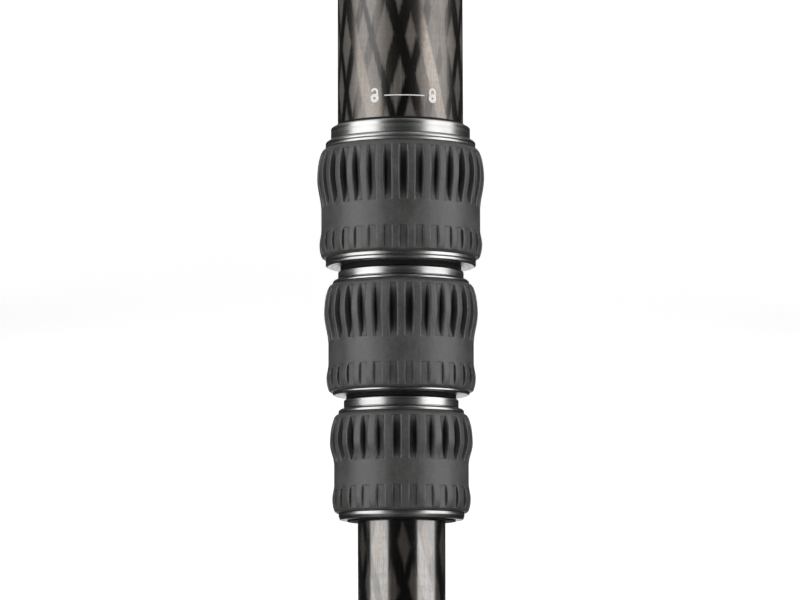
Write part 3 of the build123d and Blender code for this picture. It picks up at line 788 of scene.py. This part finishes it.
def gripShape(crest, bore, top, low, count, offset):
    length = top - low
    crestHeight = length - grip["crestDepth"]
    fluteTop = length - grip["fluteMargin"]
    heights = [0, grip["edgeStep"]] + evenHeights(grip["slotLow"], grip["beadHeight"], 3)
    heights += evenHeights(grip["beadHeight"], grip["slotHigh"], 3)[1:]
    heights += [grip["waistEnd"], grip["waistMiddle"], grip["waistStart"]]
    heights += evenHeights(grip["fluteLow"], crestHeight, 5)
    heights += evenHeights(crestHeight, fluteTop, 4)[1:]
    heights += [length - grip["topStep"], length - grip["edgeStep"], length]
    bm = bmesh.new()
    surface = [(gripRadius(height, length, crest), low + height, 0) for height in heights]
    drawOutline(bm, [(bore, low, 0)] + surface + [(bore, top, 0)])
    period = math.tau / count
    fluteAngle = grip["fluteWidth"] / crest
    ribAngle = period - fluteAngle
    last = spun(bm, bm.verts[:] + bm.edges[:], ribAngle / 2, grip["halfRibSteps"])
    last = spun(bm, last, fluteAngle, grip["fluteSteps"])
    spun(bm, last, ribAngle / 2, grip["halfRibSteps"])
    bmesh.ops.remove_doubles(bm, verts=bm.verts, dist=0.0005)
    middle = period / 2
    outward = Vector((math.cos(middle), math.sin(middle), 0))
    sideways = Vector((-math.sin(middle), math.cos(middle), 0))
    depthLayer = bm.verts.layers.float.new("depth")
    rows = (
        (grip["fluteLow"], fluteTop, grip["fluteDepth"], grip["fluteFloor"]),
        (grip["slotLow"], grip["slotHigh"], grip["slotDepth"], grip["slotFloor"]),
    )
    for rowLow, rowHigh, deepest, floorShare in rows:
        chosen = []
        for face in bm.faces:
            centre = face.calc_center_median()
            height = centre.z - low
            outside = math.hypot(centre.x, centre.y) > bore + grip["faceSkin"]
            if outside and rowLow < height < rowHigh and abs(centre.dot(sideways)) < grip["fluteWidth"] / 2:
                chosen.append(face)
        made = bmesh.ops.extrude_face_region(bm, geom=chosen)["geom"]
        bmesh.ops.delete(bm, geom=chosen, context="FACES")
        for vert in vertsIn(made):
            height = vert.co.z - low
            share = (height - rowLow) / (rowHigh - rowLow)
            scoop = math.sin(math.pi * share) ** grip["scoop"] if 0.001 < share < 0.999 else 0
            surfaceRadius = gripRadius(height, length, crest)
            depth = grip["endDepth"] + (deepest - grip["endDepth"]) * scoop
            aside = vert.co.dot(sideways) * floorShare
            floor = surfaceRadius - depth
            reach = math.sqrt(floor * floor - aside * aside)
            vert.co = outward * reach + sideways * aside + Vector((0, 0, vert.co.z))
            vert[depthLayer] = depth
    rims = []
    for edge in bm.edges:
        if len(edge.link_faces) == 2 and edge.calc_face_angle(0) > math.radians(grip["rimAngle"]):
            first, second = edge.verts
            centre = (first.co + second.co) / 2
            outside = math.hypot(centre.x, centre.y) > bore + grip["edgeSkin"]
            midway = low + grip["rimMargin"] < centre.z < top - grip["rimMargin"]
            if first[depthLayer] == second[depthLayer] == 0 and outside and midway:
                rims.append(edge)
    rounded(bm, rims, grip["ribRounding"], 2)
    spun(bm, bm.verts[:] + bm.edges[:] + bm.faces[:], math.tau - period, count - 1, use_duplicate=True)
    closeUp(bm, 0.002)
    turnVerts(bm, bm.verts, math.radians(offset - 90) - middle)
    return bm


for number in (1, 2, 3):
    outerTube, innerTube = tubeSpans[number - 1]["lowEnd"], tubeSpans[number]["lowEnd"]
    collarSpan, nutSpan = legSpan(f"collar_{number}"), legSpan(f"lock_nut_{number}")
    gripSpan = legSpan(f"lock_grip_{number}")
    gripHigh = gripSpan["high"] + grip["lift"][number - 1]
    upperBody = "leg" if number == 1 else f"section_{number}"
    lockBody = f"lock_{number}"
    sleeveLow = nutSpan["low"] + lock["lipHeight"] + collet["height"]
    seat = sleeveLow + collet["cone"]
    nutTop = nutSpan["high"] + lock["nutLift"][number - 1]
    collarTop = collarSpan["high"] + lock["collarLift"][number - 1]
    shape = collarShape(outerTube, collarTop, nutTop + lock["nutGap"], sleeveLow, seat)
    addLegPieces(f"lockCollar_{number}", shape, upperBody, legMetal, "anodised_metal", [f"collar_{number}"])
    shape = colletShape(outerTube, innerTube, sleeveLow, seat)
    addLegPieces(f"lockCollet_{number}", shape, upperBody, nylon, "nylon")
    shape = nutShape(
        outerTube, innerTube, nutTop, gripHigh, gripSpan["low"], nutSpan["low"],
        lock["lowerBevels"][number - 1],
    )
    addLegPieces(f"lockNut_{number}", shape, lockBody, legMetal, "anodised_metal", [f"lock_nut_{number}"])
    shape = sealShape(innerTube, nutSpan["low"], sealAndShadowLine["rises"][number - 1], sealAndShadowLine["depths"][number - 1])
    addLegPieces(f"dustSeal_{number}", shape, lockBody, blackSealAndPaintedShadow, "grip_rubber")
    shape = gripShape(
        gripSpan["wide"], outerTube + lock["rimRise"] - lock["bandRecess"] + grip["boreGap"], gripHigh,
        gripSpan["low"], grip["fluteCounts"][number - 1], grip["fluteOffsets"][number - 1],
    )
    addLegPieces(f"lockGrip_{number}", shape, lockBody, rubber, "grip_rubber", [f"lock_grip_{number}"])
# painted shadow: a dark ring on the tube just above the first collar
bead = beadShape(tubeSpans[0]["lowEnd"], legSpan("collar_1")["high"] + lock["collarLift"][0])
addLegPieces("paintedShadowBead", bead, "leg", blackSealAndPaintedShadow, "grip_rubber")
print("twist locks ready")


# Rubber feet

foot = {
    "neckWall": 2.6, "boreGap": 0.05, "flat": 6.0, "bevel": 12.0, "lean": math.tan(math.radians(23)),
    "radius": 17.0, "side": 8.5, "crown": 15.0, "neck": 26.0, "chamfer": 1.2, "socket": 14.0,
    "soleSoft": 1.5, "bevelSoft": 2.2, "sideSoft": 2.5, "neckSoft": 2.0, "topSoft": (0.5, 0.4),
}
footRing = {
    "count": 3, "first": 2.2, "pitch": 2.6, "width": 1.2, "depth": 0.6, "slope": 0.35,
    "edgeSoft": 0.15, "floorSoft": 0.1,
}


def footShape(tip, top, tubeRadius):
    neck = tubeRadius + foot["neckWall"]
    bore = tubeRadius + foot["boreGap"]
    bevelHeight = (foot["bevel"] - foot["flat"]) * foot["lean"]
    outline = [
        (0, tip, 0),
        (foot["flat"], tip, foot["soleSoft"]),
        (foot["bevel"], tip + bevelHeight, foot["bevelSoft"]),
        (foot["radius"], tip + foot["side"], foot["sideSoft"]),
        (foot["radius"], tip + foot["crown"], foot["sideSoft"]),
        (neck, tip + foot["neck"], foot["neckSoft"]),
    ]
    ringRadius, slope = neck - footRing["depth"], footRing["slope"]
    soft, floorSoft = footRing["edgeSoft"], footRing["floorSoft"]
    for number in range(footRing["count"]):
        low = tip + foot["neck"] + footRing["first"] + number * footRing["pitch"]
        high = low + footRing["width"]
        outline += [(neck, low, soft), (ringRadius, low + slope, floorSoft)]
        outline += [(ringRadius, high - slope, floorSoft), (neck, high, soft)]
    cut, (sideSoft, rimSoft) = foot["chamfer"], foot["topSoft"]
    outline += [(neck, top - cut, sideSoft), (neck - cut, top, rimSoft), (bore, top, 0)]
    outline += [(bore, top - foot["socket"], 0), (0, top - foot["socket"], 0)]
    return lathed(outline, steps=96, closed=False)


footSpan = legSpan("foot")
footMesh = footShape(footSpan["low"], footSpan["high"], tubeSpans[3]["lowEnd"])
addLegPieces("rubberFoot", footMesh, "section_4", rubber, "grip_rubber", ["foot"])
print("feet ready")


# Printed lock marks on the top tube: an open and a closed padlock joined by a line

mark = {
    "closedTurn": 30.4,
    "openTurn": -24.0,
    "aboveCollar": 6.3,
    "lineTurns": (-14.6, 22.3),
    "lineHeight": 0.3,
    "body": 1.25,
    "keyhole": 0.36,
    "bodyDrop": 0.7,
    "bowOuter": 1.12,
    "bowInner": 0.5,
    "bowRise": 1.1,
    "bowLegs": 1.025,
    "openSweep": 168,
    "ink": 0.03,
    "gap": 0.01,
}


def arcStrip(bm, centre, inner, outer, start, sweep, steps):
    begin = math.radians(start)
    verts = [
        bm.verts.new((centre[0] + radius * math.cos(begin), centre[1] + radius * math.sin(begin), 0))
        for radius in (inner, outer)
    ]
    spun(bm, verts + [bm.edges.new(verts)], math.radians(sweep), steps, (*centre, 0), use_merge=sweep >= 360)


def padlock(bm, isOpen):
    body = (0, -mark["bodyDrop"])
    arcStrip(bm, body, mark["keyhole"], mark["body"], 0, 360, 28)
    bow = (0, mark["bowRise"])
    arcStrip(bm, bow, mark["bowInner"], mark["bowOuter"], 0, mark["openSweep"] if isOpen else 180, 14)
    ends = [edge for edge in bm.edges if all(abs(vert.co.y - mark["bowRise"]) < 1e-4 for vert in edge.verts)]
    for end in ends:
        new = bmesh.ops.extrude_edge_only(bm, edges=[end])["geom"]
        bmesh.ops.translate(bm, verts=vertsIn(new), vec=(0, -mark["bowLegs"], 0))


def wrapOn(bm, radius, turn, height):  # bends a flat drawing round the tube, centred at this turn
    for vert in bm.verts:
        angle = math.radians(turn) + vert.co.x / radius
        vert.co = Vector((radius * math.sin(angle), -radius * math.cos(angle), height + vert.co.y))
    bmesh.ops.recalc_face_normals(bm, faces=bm.faces)
    for face in bm.faces:
        centre = face.calc_center_median()
        if face.normal.dot(Vector((centre.x, centre.y, 0))) < 0:
            face.normal_flip()
    bmesh.ops.solidify(bm, geom=bm.faces[:], thickness=-mark["ink"])
    bmesh.ops.recalc_face_normals(bm, faces=bm.faces)


markRadius = tubeSpans[0]["lowEnd"] + mark["gap"]
markHeight = legSpan("collar_1")["high"] + mark["aboveCollar"]
for name, turn, isOpen in (("openMark", mark["openTurn"], True), ("closedMark", mark["closedTurn"], False)):
    drawing = bmesh.new()
    padlock(drawing, isOpen)
    wrapOn(drawing, markRadius, turn, markHeight)
    addLegPieces(name, drawing, "leg", whitePrint, "carbon_tube")
lineStart, lineEnd = (math.radians(turn) * markRadius for turn in mark["lineTurns"])
drawing = flatSheet(lineEnd - lineStart, mark["lineHeight"], 24)
bmesh.ops.translate(drawing, vec=((lineEnd + lineStart) / 2, 0, 0), verts=drawing.verts)
wrapOn(drawing, markRadius, 0, markHeight)
addLegPieces("markLine", drawing, "leg", whitePrint, "carbon_tube")
print("printed marks ready")


# Castings, bolts and the rest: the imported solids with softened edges

softening = {
    "merge": 0.002, "flatAngle": 0.6, "angle": 30, "segments": 3, "smoothAngle": 36,
    "shoulder": (-25.0, -12.6),
}


def onShoulder(leg, point):  # whether a point lies on a leg top's shoulder, between its socket and its fork
    low, high = softening["shoulder"]
    return low < (legPlaces[leg].inverted() @ (point * millimetre)).z / millimetre < high


def softened(node, width, keepEdge):
    bm = bmesh.new()
    bm.from_mesh(nodes[node].data)
    bmesh.ops.scale(bm, vec=(1000, 1000, 1000), verts=bm.verts)
    bmesh.ops.remove_doubles(bm, verts=bm.verts, dist=softening["merge"])
    flatAngle = math.radians(softening["flatAngle"])
    bmesh.ops.dissolve_limit(bm, angle_limit=flatAngle, verts=bm.verts, edges=bm.edges, delimit={"SHARP"})
    edges = [
        edge for edge in bm.edges
        if edge.calc_face_angle(0) > math.radians(softening["angle"])
        and not keepEdge((edge.verts[0].co + edge.verts[1].co) / 2)
    ]
    rounded(bm, edges, width, softening["segments"], clamped=False)
    bmesh.ops.remove_doubles(bm, verts=bm.verts, dist=softening["merge"])
    return bm


def addSoftened(name, node, body, width, material, slotName, keepEdge=lambda point: False):
    mesh = finishMesh(softened(node, width, keepEdge), name, softening["smoothAngle"])
    mesh.transform(Matrix.Scale(millimetre, 4))
    return addPiece(name, mesh, body, material, slotName, [node])


for leg in legs:
    addSoftened(
        f"{leg}_legTop", f"{leg}_leg_top", f"{leg}_leg", 0.45, castCoat, "cast_metal",
        lambda point: onShoulder(leg, point),
    )
    addSoftened(f"{leg}_angleStop", f"{leg}_angle_tab", f"{leg}_tab", 0.3, platformMetal, "anodised_metal")
fittings = (  # piece, node, body, width of the softened edges, material and slot
    ("apexCasting", "apex", "hub", 0.4, castCoat, "cast_metal"),
    ("headPlatform", "platform", "hub", 0.25, platformMetal, "platform_metal"),
    ("hingeBolts", "hinge_bolts", "hub", 0.25, steel, "steel"),
    ("hingeWashers", "hinge_washers", "hub", 0.08, nylon, "nylon"),
    ("grubScrews", "grub_screws", "hub", 0.12, steel, "steel"),
    ("clampNut", "clamp_nut", "hub", 0.2, steel, "steel"),
    ("clampKnob", "clamp_knob", "clamp_knob", 0.35, castCoat, "cast_metal"),
    ("hookHousing", "hook_housing", "hub", 0.25, platformMetal, "platform_metal"),
    ("ballastHook", "hook", "hook", 0.15, steel, "steel"),
)
for fitting in fittings:
    addSoftened(*fitting)
print("castings and fittings ready")


# Head stud and accessory hole with their threads, and the bubble level

thread = {"crestShare": 0.16, "footShare": 0.88, "sunk": 0.1, "steps": 40}
stud = {
    "pitch": 1.5875, "depth": 0.75, "soft": 0.35, "flangeHeight": 3.0, "tipBevel": 0.5, "ridge": (0.1, 0.25),
}
socket = {"pitch": 1.27, "depth": 0.4, "inset": 0.5}
vial = {
    "rimWidth": 1.1, "recess": 0.9, "soft": 0.2, "gap": 0.03, "floorGap": 0.02,
    "fluidDrop": 0.42, "circle": (1.96, 2.24), "circleHeights": (0.005, 0.035),
    "bubble": 1.45, "bubbleFlat": 0.11, "bubblePlace": (0.25, -0.2),
    "domeDrop": 0.2, "domeEdge": 0.1, "domeRise": 0.35, "domeSteps": 5,
}


def corners(node):  # lowest and highest corner of a node, in millimetres
    points = [vert.co / millimetre for vert in nodes[node].data.vertices]
    return [Vector([pick(point[axis] for point in points) for axis in range(3)]) for pick in (min, max)]


def addRidge(bm, root, crest, low, high, pitch):  # one thread's ridge, wound up the z axis
    crestHalf = pitch * thread["crestShare"] / 2
    footHalf = pitch * thread["footShare"] / 2
    section = [(root, -footHalf), (crest, -crestHalf), (crest, crestHalf), (root, footHalf)]
    first = [bm.verts.new((radius, 0, low + footHalf + height)) for radius, height in section]
    edges = [bm.edges.new((first[index - 1], first[index])) for index in range(4)]
    count = int((high - low - 2 * footHalf) / pitch * thread["steps"])
    step = Vector((0, 0, pitch / thread["steps"]))
    last = spun(bm, first + edges, math.tau * count / thread["steps"], count, dvec=step)
    for end in (first, vertsIn(last)):
        bmesh.ops.contextual_create(bm, geom=end)
    bmesh.ops.recalc_face_normals(bm, faces=bm.faces)


def studShape():
    low, high = corners("head_stud")
    shank = [vert.co for vert in nodes["head_stud"].data.vertices if vert.co.z > millimetre]
    crest = max(math.hypot(point.x, point.y) for point in shank) / millimetre
    root, soft = crest - stud["depth"], stud["soft"]
    flangeTop = low.z + stud["flangeHeight"]
    bm = lathed([
        (0, low.z, 0),
        (high.x, low.z, soft),
        (high.x, flangeTop, soft),
        (root, flangeTop, 0),
        (root, high.z - stud["tipBevel"], 0.1),
        (root - stud["tipBevel"], high.z, 0.1),
        (0, high.z, 0),
    ], steps=64, closed=False)
    ridgeStart, ridgeEnd = stud["ridge"]
    addRidge(bm, root - thread["sunk"], crest, ridgeStart, high.z - ridgeEnd, stud["pitch"])
    return bm


def addHubPiece(name, bm, material, slotName, place=Matrix.Identity(4), standsFor=()):
    mesh = finishMesh(bm, name)
    mesh.transform(Matrix.Scale(millimetre, 4) @ place)
    return addPiece(name, mesh, "hub", material, slotName, standsFor)


addHubPiece("headStud", studShape(), steel, "steel", standsFor=["head_stud"])

mount = next(item for item in frame["record"]["mounts"] if item["name"] == "accessory_socket")
holeRadius, holeDepth = mount["dims"]["r_mm"], mount["dims"]["length_mm"]
ridge = bmesh.new()
root, crest, inset = holeRadius + thread["sunk"], holeRadius - socket["depth"], socket["inset"]
addRidge(ridge, root, crest, inset, holeDepth - inset, socket["pitch"])
inwardTurn = (-Vector(mount["axis"])).to_track_quat("Z", "Y").to_matrix().to_4x4()
place = Matrix.Translation(Vector(mount["pos_m"]) / millimetre) @ inwardTurn
addHubPiece("accessoryThread", ridge, castCoat, "cast_metal", place)

vialLow, vialHigh = corners("bubble_level")
vialPlace = Matrix.Translation(((vialLow.x + vialHigh.x) / 2, (vialLow.y + vialHigh.y) / 2, 0))
vialRadius = (vialHigh.x - vialLow.x) / 2
well = vialRadius - vial["rimWidth"]
wellFloor = vialHigh.z - vial["recess"]
cup = lathed([
    (0, vialLow.z, 0),
    (vialRadius, vialLow.z, 0),
    (vialRadius, vialHigh.z, vial["soft"]),
    (well, vialHigh.z, vial["soft"]),
    (well, wellFloor, 0),
    (0, wellFloor, 0),
], steps=64, closed=False)
addHubPiece("levelCup", cup, platformMetal, "level_glass", vialPlace, ["bubble_level"])
fluidLow, fluidTop = wellFloor + vial["floorGap"], vialHigh.z - vial["fluidDrop"]
inWell = well - vial["gap"]
fluid = [(0, fluidLow, 0), (inWell, fluidLow, 0), (inWell, fluidTop, 0), (0, fluidTop, 0)]
addHubPiece("levelFluid", lathed(fluid, steps=64, closed=False), levelFluid, "level_glass", vialPlace)
(inner, outer), (low, high) = vial["circle"], (fluidTop + height for height in vial["circleHeights"])
circle = lathed([(inner, low, 0), (inner, high, 0), (outer, high, 0), (outer, low, 0)], steps=64)
addHubPiece("levelCircle", circle, blackSealAndPaintedShadow, "level_glass", vialPlace)
bubble = bmesh.new()
bmesh.ops.create_uvsphere(bubble, u_segments=32, v_segments=12, radius=vial["bubble"])
bmesh.ops.scale(bubble, vec=(1, 1, vial["bubbleFlat"]), verts=bubble.verts)
bmesh.ops.translate(bubble, vec=(*vial["bubblePlace"], fluidTop + vial["gap"]), verts=bubble.verts)
addHubPiece("levelBubble", bubble, whitePrint, "level_glass", vialPlace)
domeLow = vialHigh.z - vial["domeDrop"]
dome = [(0, domeLow, 0), (inWell, domeLow, 0)]
for step in range(vial["domeSteps"]):
    turn = math.pi / 2 * step / vial["domeSteps"]
    rise = vial["domeEdge"] + vial["domeRise"] * math.sin(turn)
    dome.append((inWell * math.cos(turn), domeLow + rise, 0))
dome.append((0, domeLow + vial["domeEdge"] + vial["domeRise"], 0))
addHubPiece("levelGlass", lathed(dome, steps=64, closed=False), levelGlass, "level_glass", vialPlace)
print("threads and level ready")


# Studio

studio = {
    "floorSize": 14.0,
    "floorColour": (0.9, 0.9, 0.895, 1),
    "stripTurns": (-62.0, 68.5),  # either side of the front leg's outer face
    "stripReach": 1.0,
    "stripWidth": 1.0,
    "stripLength": 1.5,
    "stripPower": 11.9,
    "topPower": 5.0,
    "topNear": 0.57,  # the two overhead panels leave the middle dark
    "topFar": 1.5,
    "topLength": 2.2,
    "topHeight": 2.2,
    "flagRadius": 1.9,
    "flagHalfHeight": 1.6,
    "flagTurns": ((-37, 42), (99, 165), (-165, -91)),
    "floorCards": (  # from and to along x, then along y
        (-1.5, -0.05, -0.5, 1.4), (0.05, 1.5, -0.5, 1.4), (-0.05, 0.05, -0.5, -0.17), (-0.2, 0.2, -1.5, -0.5),
    ),
    "floorCardLift": 0.003,
    "cardColour": (0.03, 0.03, 0.03, 1),
    "ceilingCard": (-0.57, 0.57, -1.6, 1.6),
    "back": {"place": (0, 1.6, 0.3), "aim": (0, 0, -0.25), "size": (1.6, 1.2), "power": 8.0},
    "ambient": 0.12,
    "floorGlow": {"near": 0.5, "far": 0.94, "nearReach": 0.3, "farReach": 1.3},
    "lookAt": -450.1,
    "camera": {
        "reach": 1.128, "below": 6.3, "aside": -0.27, "roll": -0.16,
        "lens": 177.6, "sensor": 36, "clip": (0.01, 50),
    },
}
ground = cadLow.z
legMiddle = Vector((0, 0, studio["lookAt"] * millimetre))


def inLeg(turn, reach, rise=0.0, aside=0.0):  # a point round the front leg, from its outer face
    angle = math.radians(turn)
    offset = Vector((reach * math.sin(angle) + aside * millimetre, -reach * math.cos(angle), rise))
    return legPlaces["front"] @ (legMiddle + offset)


def seenDirectly(tree):  # 1 where the camera looks straight, through glass or by a reflection
    rays = addNode(tree, "ShaderNodeLightPath").outputs
    direct = math2(tree, "MAXIMUM", rays["Is Camera Ray"], rays["Is Glossy Ray"])
    return math2(tree, "MAXIMUM", direct, rays["Is Transmission Ray"])


def stageMesh(name, bm, material):
    mesh = bpy.data.meshes.new(name)
    bm.to_mesh(mesh)
    bm.free()
    mesh.materials.append(material)
    return newObject(name, mesh)


def addFloor():
    material, tree = blankMaterial("paleFloor")
    seen = seenDirectly(tree)
    lit = addNode(tree, "ShaderNodeBsdfDiffuse", {"Color": studio["floorColour"]}).outputs[0]
    glowing = studio["floorGlow"]
    place = addNode(tree, "ShaderNodeTexCoord").outputs["Object"]
    reach = addNode(tree, "ShaderNodeVectorMath", {0: place}, operation="LENGTH").outputs["Value"]
    ends = (glowing["nearReach"], glowing["farReach"], glowing["near"], glowing["far"])
    strength = math2(tree, "MULTIPLY", seen, mapRange(tree, reach, *ends, smooth=True))
    glow = addNode(tree, "ShaderNodeEmission", {"Color": (1, 1, 1, 1), "Strength": strength})
    surface = addNode(tree, "ShaderNodeAddShader", {0: lit, 1: glow.outputs[0]}).outputs[0]
    addNode(tree, "ShaderNodeOutputMaterial", {"Surface": surface})
    bm = bmesh.new()
    bmesh.ops.create_circle(bm, cap_ends=True, segments=64, radius=studio["floorSize"] / 2)
    floor = stageMesh("floor", bm, material)
    floor.location = (0, 0, ground)


def addCard(name, bm, place, material):
    bmesh.ops.transform(bm, matrix=place, verts=bm.verts)
    card = stageMesh(name, bm, material)
    for kind in ("camera", "diffuse", "shadow", "transmission"):
        setattr(card, f"visible_{kind}", False)


def flatCard(name, box, height, material):
    startX, endX, startY, endY = box
    middle = ((startX + endX) / 2, (startY + endY) / 2, height)
    addCard(name, flatSheet(endX - startX, endY - startY), Matrix.Translation(middle), material)


def addFlags():  # dark cards round the front leg, below and above it, seen only in reflections
    material, tree = blankMaterial("darkCard")
    surface = addNode(tree, "ShaderNodeEmission", {"Color": studio["cardColour"], "Strength": 1.0})
    addNode(tree, "ShaderNodeOutputMaterial", {"Surface": surface.outputs[0]})
    for number, box in enumerate(studio["floorCards"], 1):
        flatCard(f"floorCard_{number}", box, ground + studio["floorCardLift"], material)
    flatCard("ceilingCard", studio["ceilingCard"], studio["topHeight"], material)
    for number, (start, end) in enumerate(studio["flagTurns"], 1):
        bm = bmesh.new()
        low = bm.verts.new((0, -studio["flagRadius"], -studio["flagHalfHeight"]))
        high = bm.verts.new((0, -studio["flagRadius"], studio["flagHalfHeight"]))
        edge = bm.edges.new((low, high))
        turnVerts(bm, bm.verts, math.radians(start))
        spun(bm, [low, high, edge], math.radians(end - start), 16)
        addCard(f"darkCard_{number}", bm, legPlaces["front"] @ Matrix.Translation(legMiddle), material)


def aimAt(obj, place, target, roll=0.0):
    turn = (target - place).to_track_quat("-Z", "Y").to_matrix().to_4x4()
    obj.matrix_world = Matrix.Translation(place) @ turn @ Matrix.Rotation(math.radians(roll), 4, "Z")


def addLight(name, place, target, width, length, power, upright=None):
    data = bpy.data.lights.new(name, "AREA")
    data.shape = "RECTANGLE"
    data.size = width
    data.size_y = length
    data.energy = power
    light = newObject(name, data)
    if upright is None:
        aimAt(light, place, target)
    else:
        back = (place - target).normalized()
        side = upright.cross(back).normalized()
        turn = Matrix((side, back.cross(side), back)).transposed().to_4x4()
        light.matrix_world = Matrix.Translation(place) @ turn
    light.visible_camera = False
    return light


def addWorld():
    world = bpy.data.worlds.new("studio")
    bpy.context.scene.world = world
    world.use_nodes = True
    tree = world.node_tree
    tree.nodes.clear()
    soft, white = (
        addNode(tree, "ShaderNodeBackground", {"Color": (1, 1, 1, 1), "Strength": strength}).outputs[0]
        for strength in (studio["ambient"], 1.0)
    )
    surface = addNode(tree, "ShaderNodeMixShader", {0: seenDirectly(tree), 1: soft, 2: white}).outputs[0]
    addNode(tree, "ShaderNodeOutputWorld", {"Surface": surface})


def addCamera():
    values = studio["camera"]
    data = bpy.data.cameras.new("camera")
    data.lens = values["lens"]
    data.sensor_width = values["sensor"]
    data.clip_start, data.clip_end = values["clip"]
    camera = newObject("camera", data)
    below = math.radians(values["below"])
    target = inLeg(0, 0, 0, values["aside"])
    place = inLeg(0, values["reach"] * math.cos(below), -values["reach"] * math.sin(below), values["aside"])
    aimAt(camera, place, target, values["roll"])
    bpy.context.scene.camera = camera


addFloor()
addFlags()
legUp = legPlaces["front"].to_3x3() @ Vector((0, 0, 1))
stripSize = (studio["stripWidth"], studio["stripLength"])
for number, turn in enumerate(studio["stripTurns"], 1):
    place = inLeg(turn, studio["stripReach"])
    addLight(f"strip_{number}", place, inLeg(0, 0), *stripSize, studio["stripPower"], legUp)
topSize = (studio["topFar"] - studio["topNear"], studio["topLength"])
for side in (-1, 1):
    place = Vector((side * (studio["topNear"] + studio["topFar"]) / 2, 0, studio["topHeight"]))
    addLight(f"overhead_{side}", place, place - Vector((0, 0, 1)), *topSize, studio["topPower"])
back = studio["back"]
backFill = addLight("backFill", Vector(back["place"]), Vector(back["aim"]), *back["size"], back["power"])
backFill.visible_glossy = False
addWorld()
addCamera()
bpy.context.scene.view_settings.view_transform = "Standard"
print("studio ready")
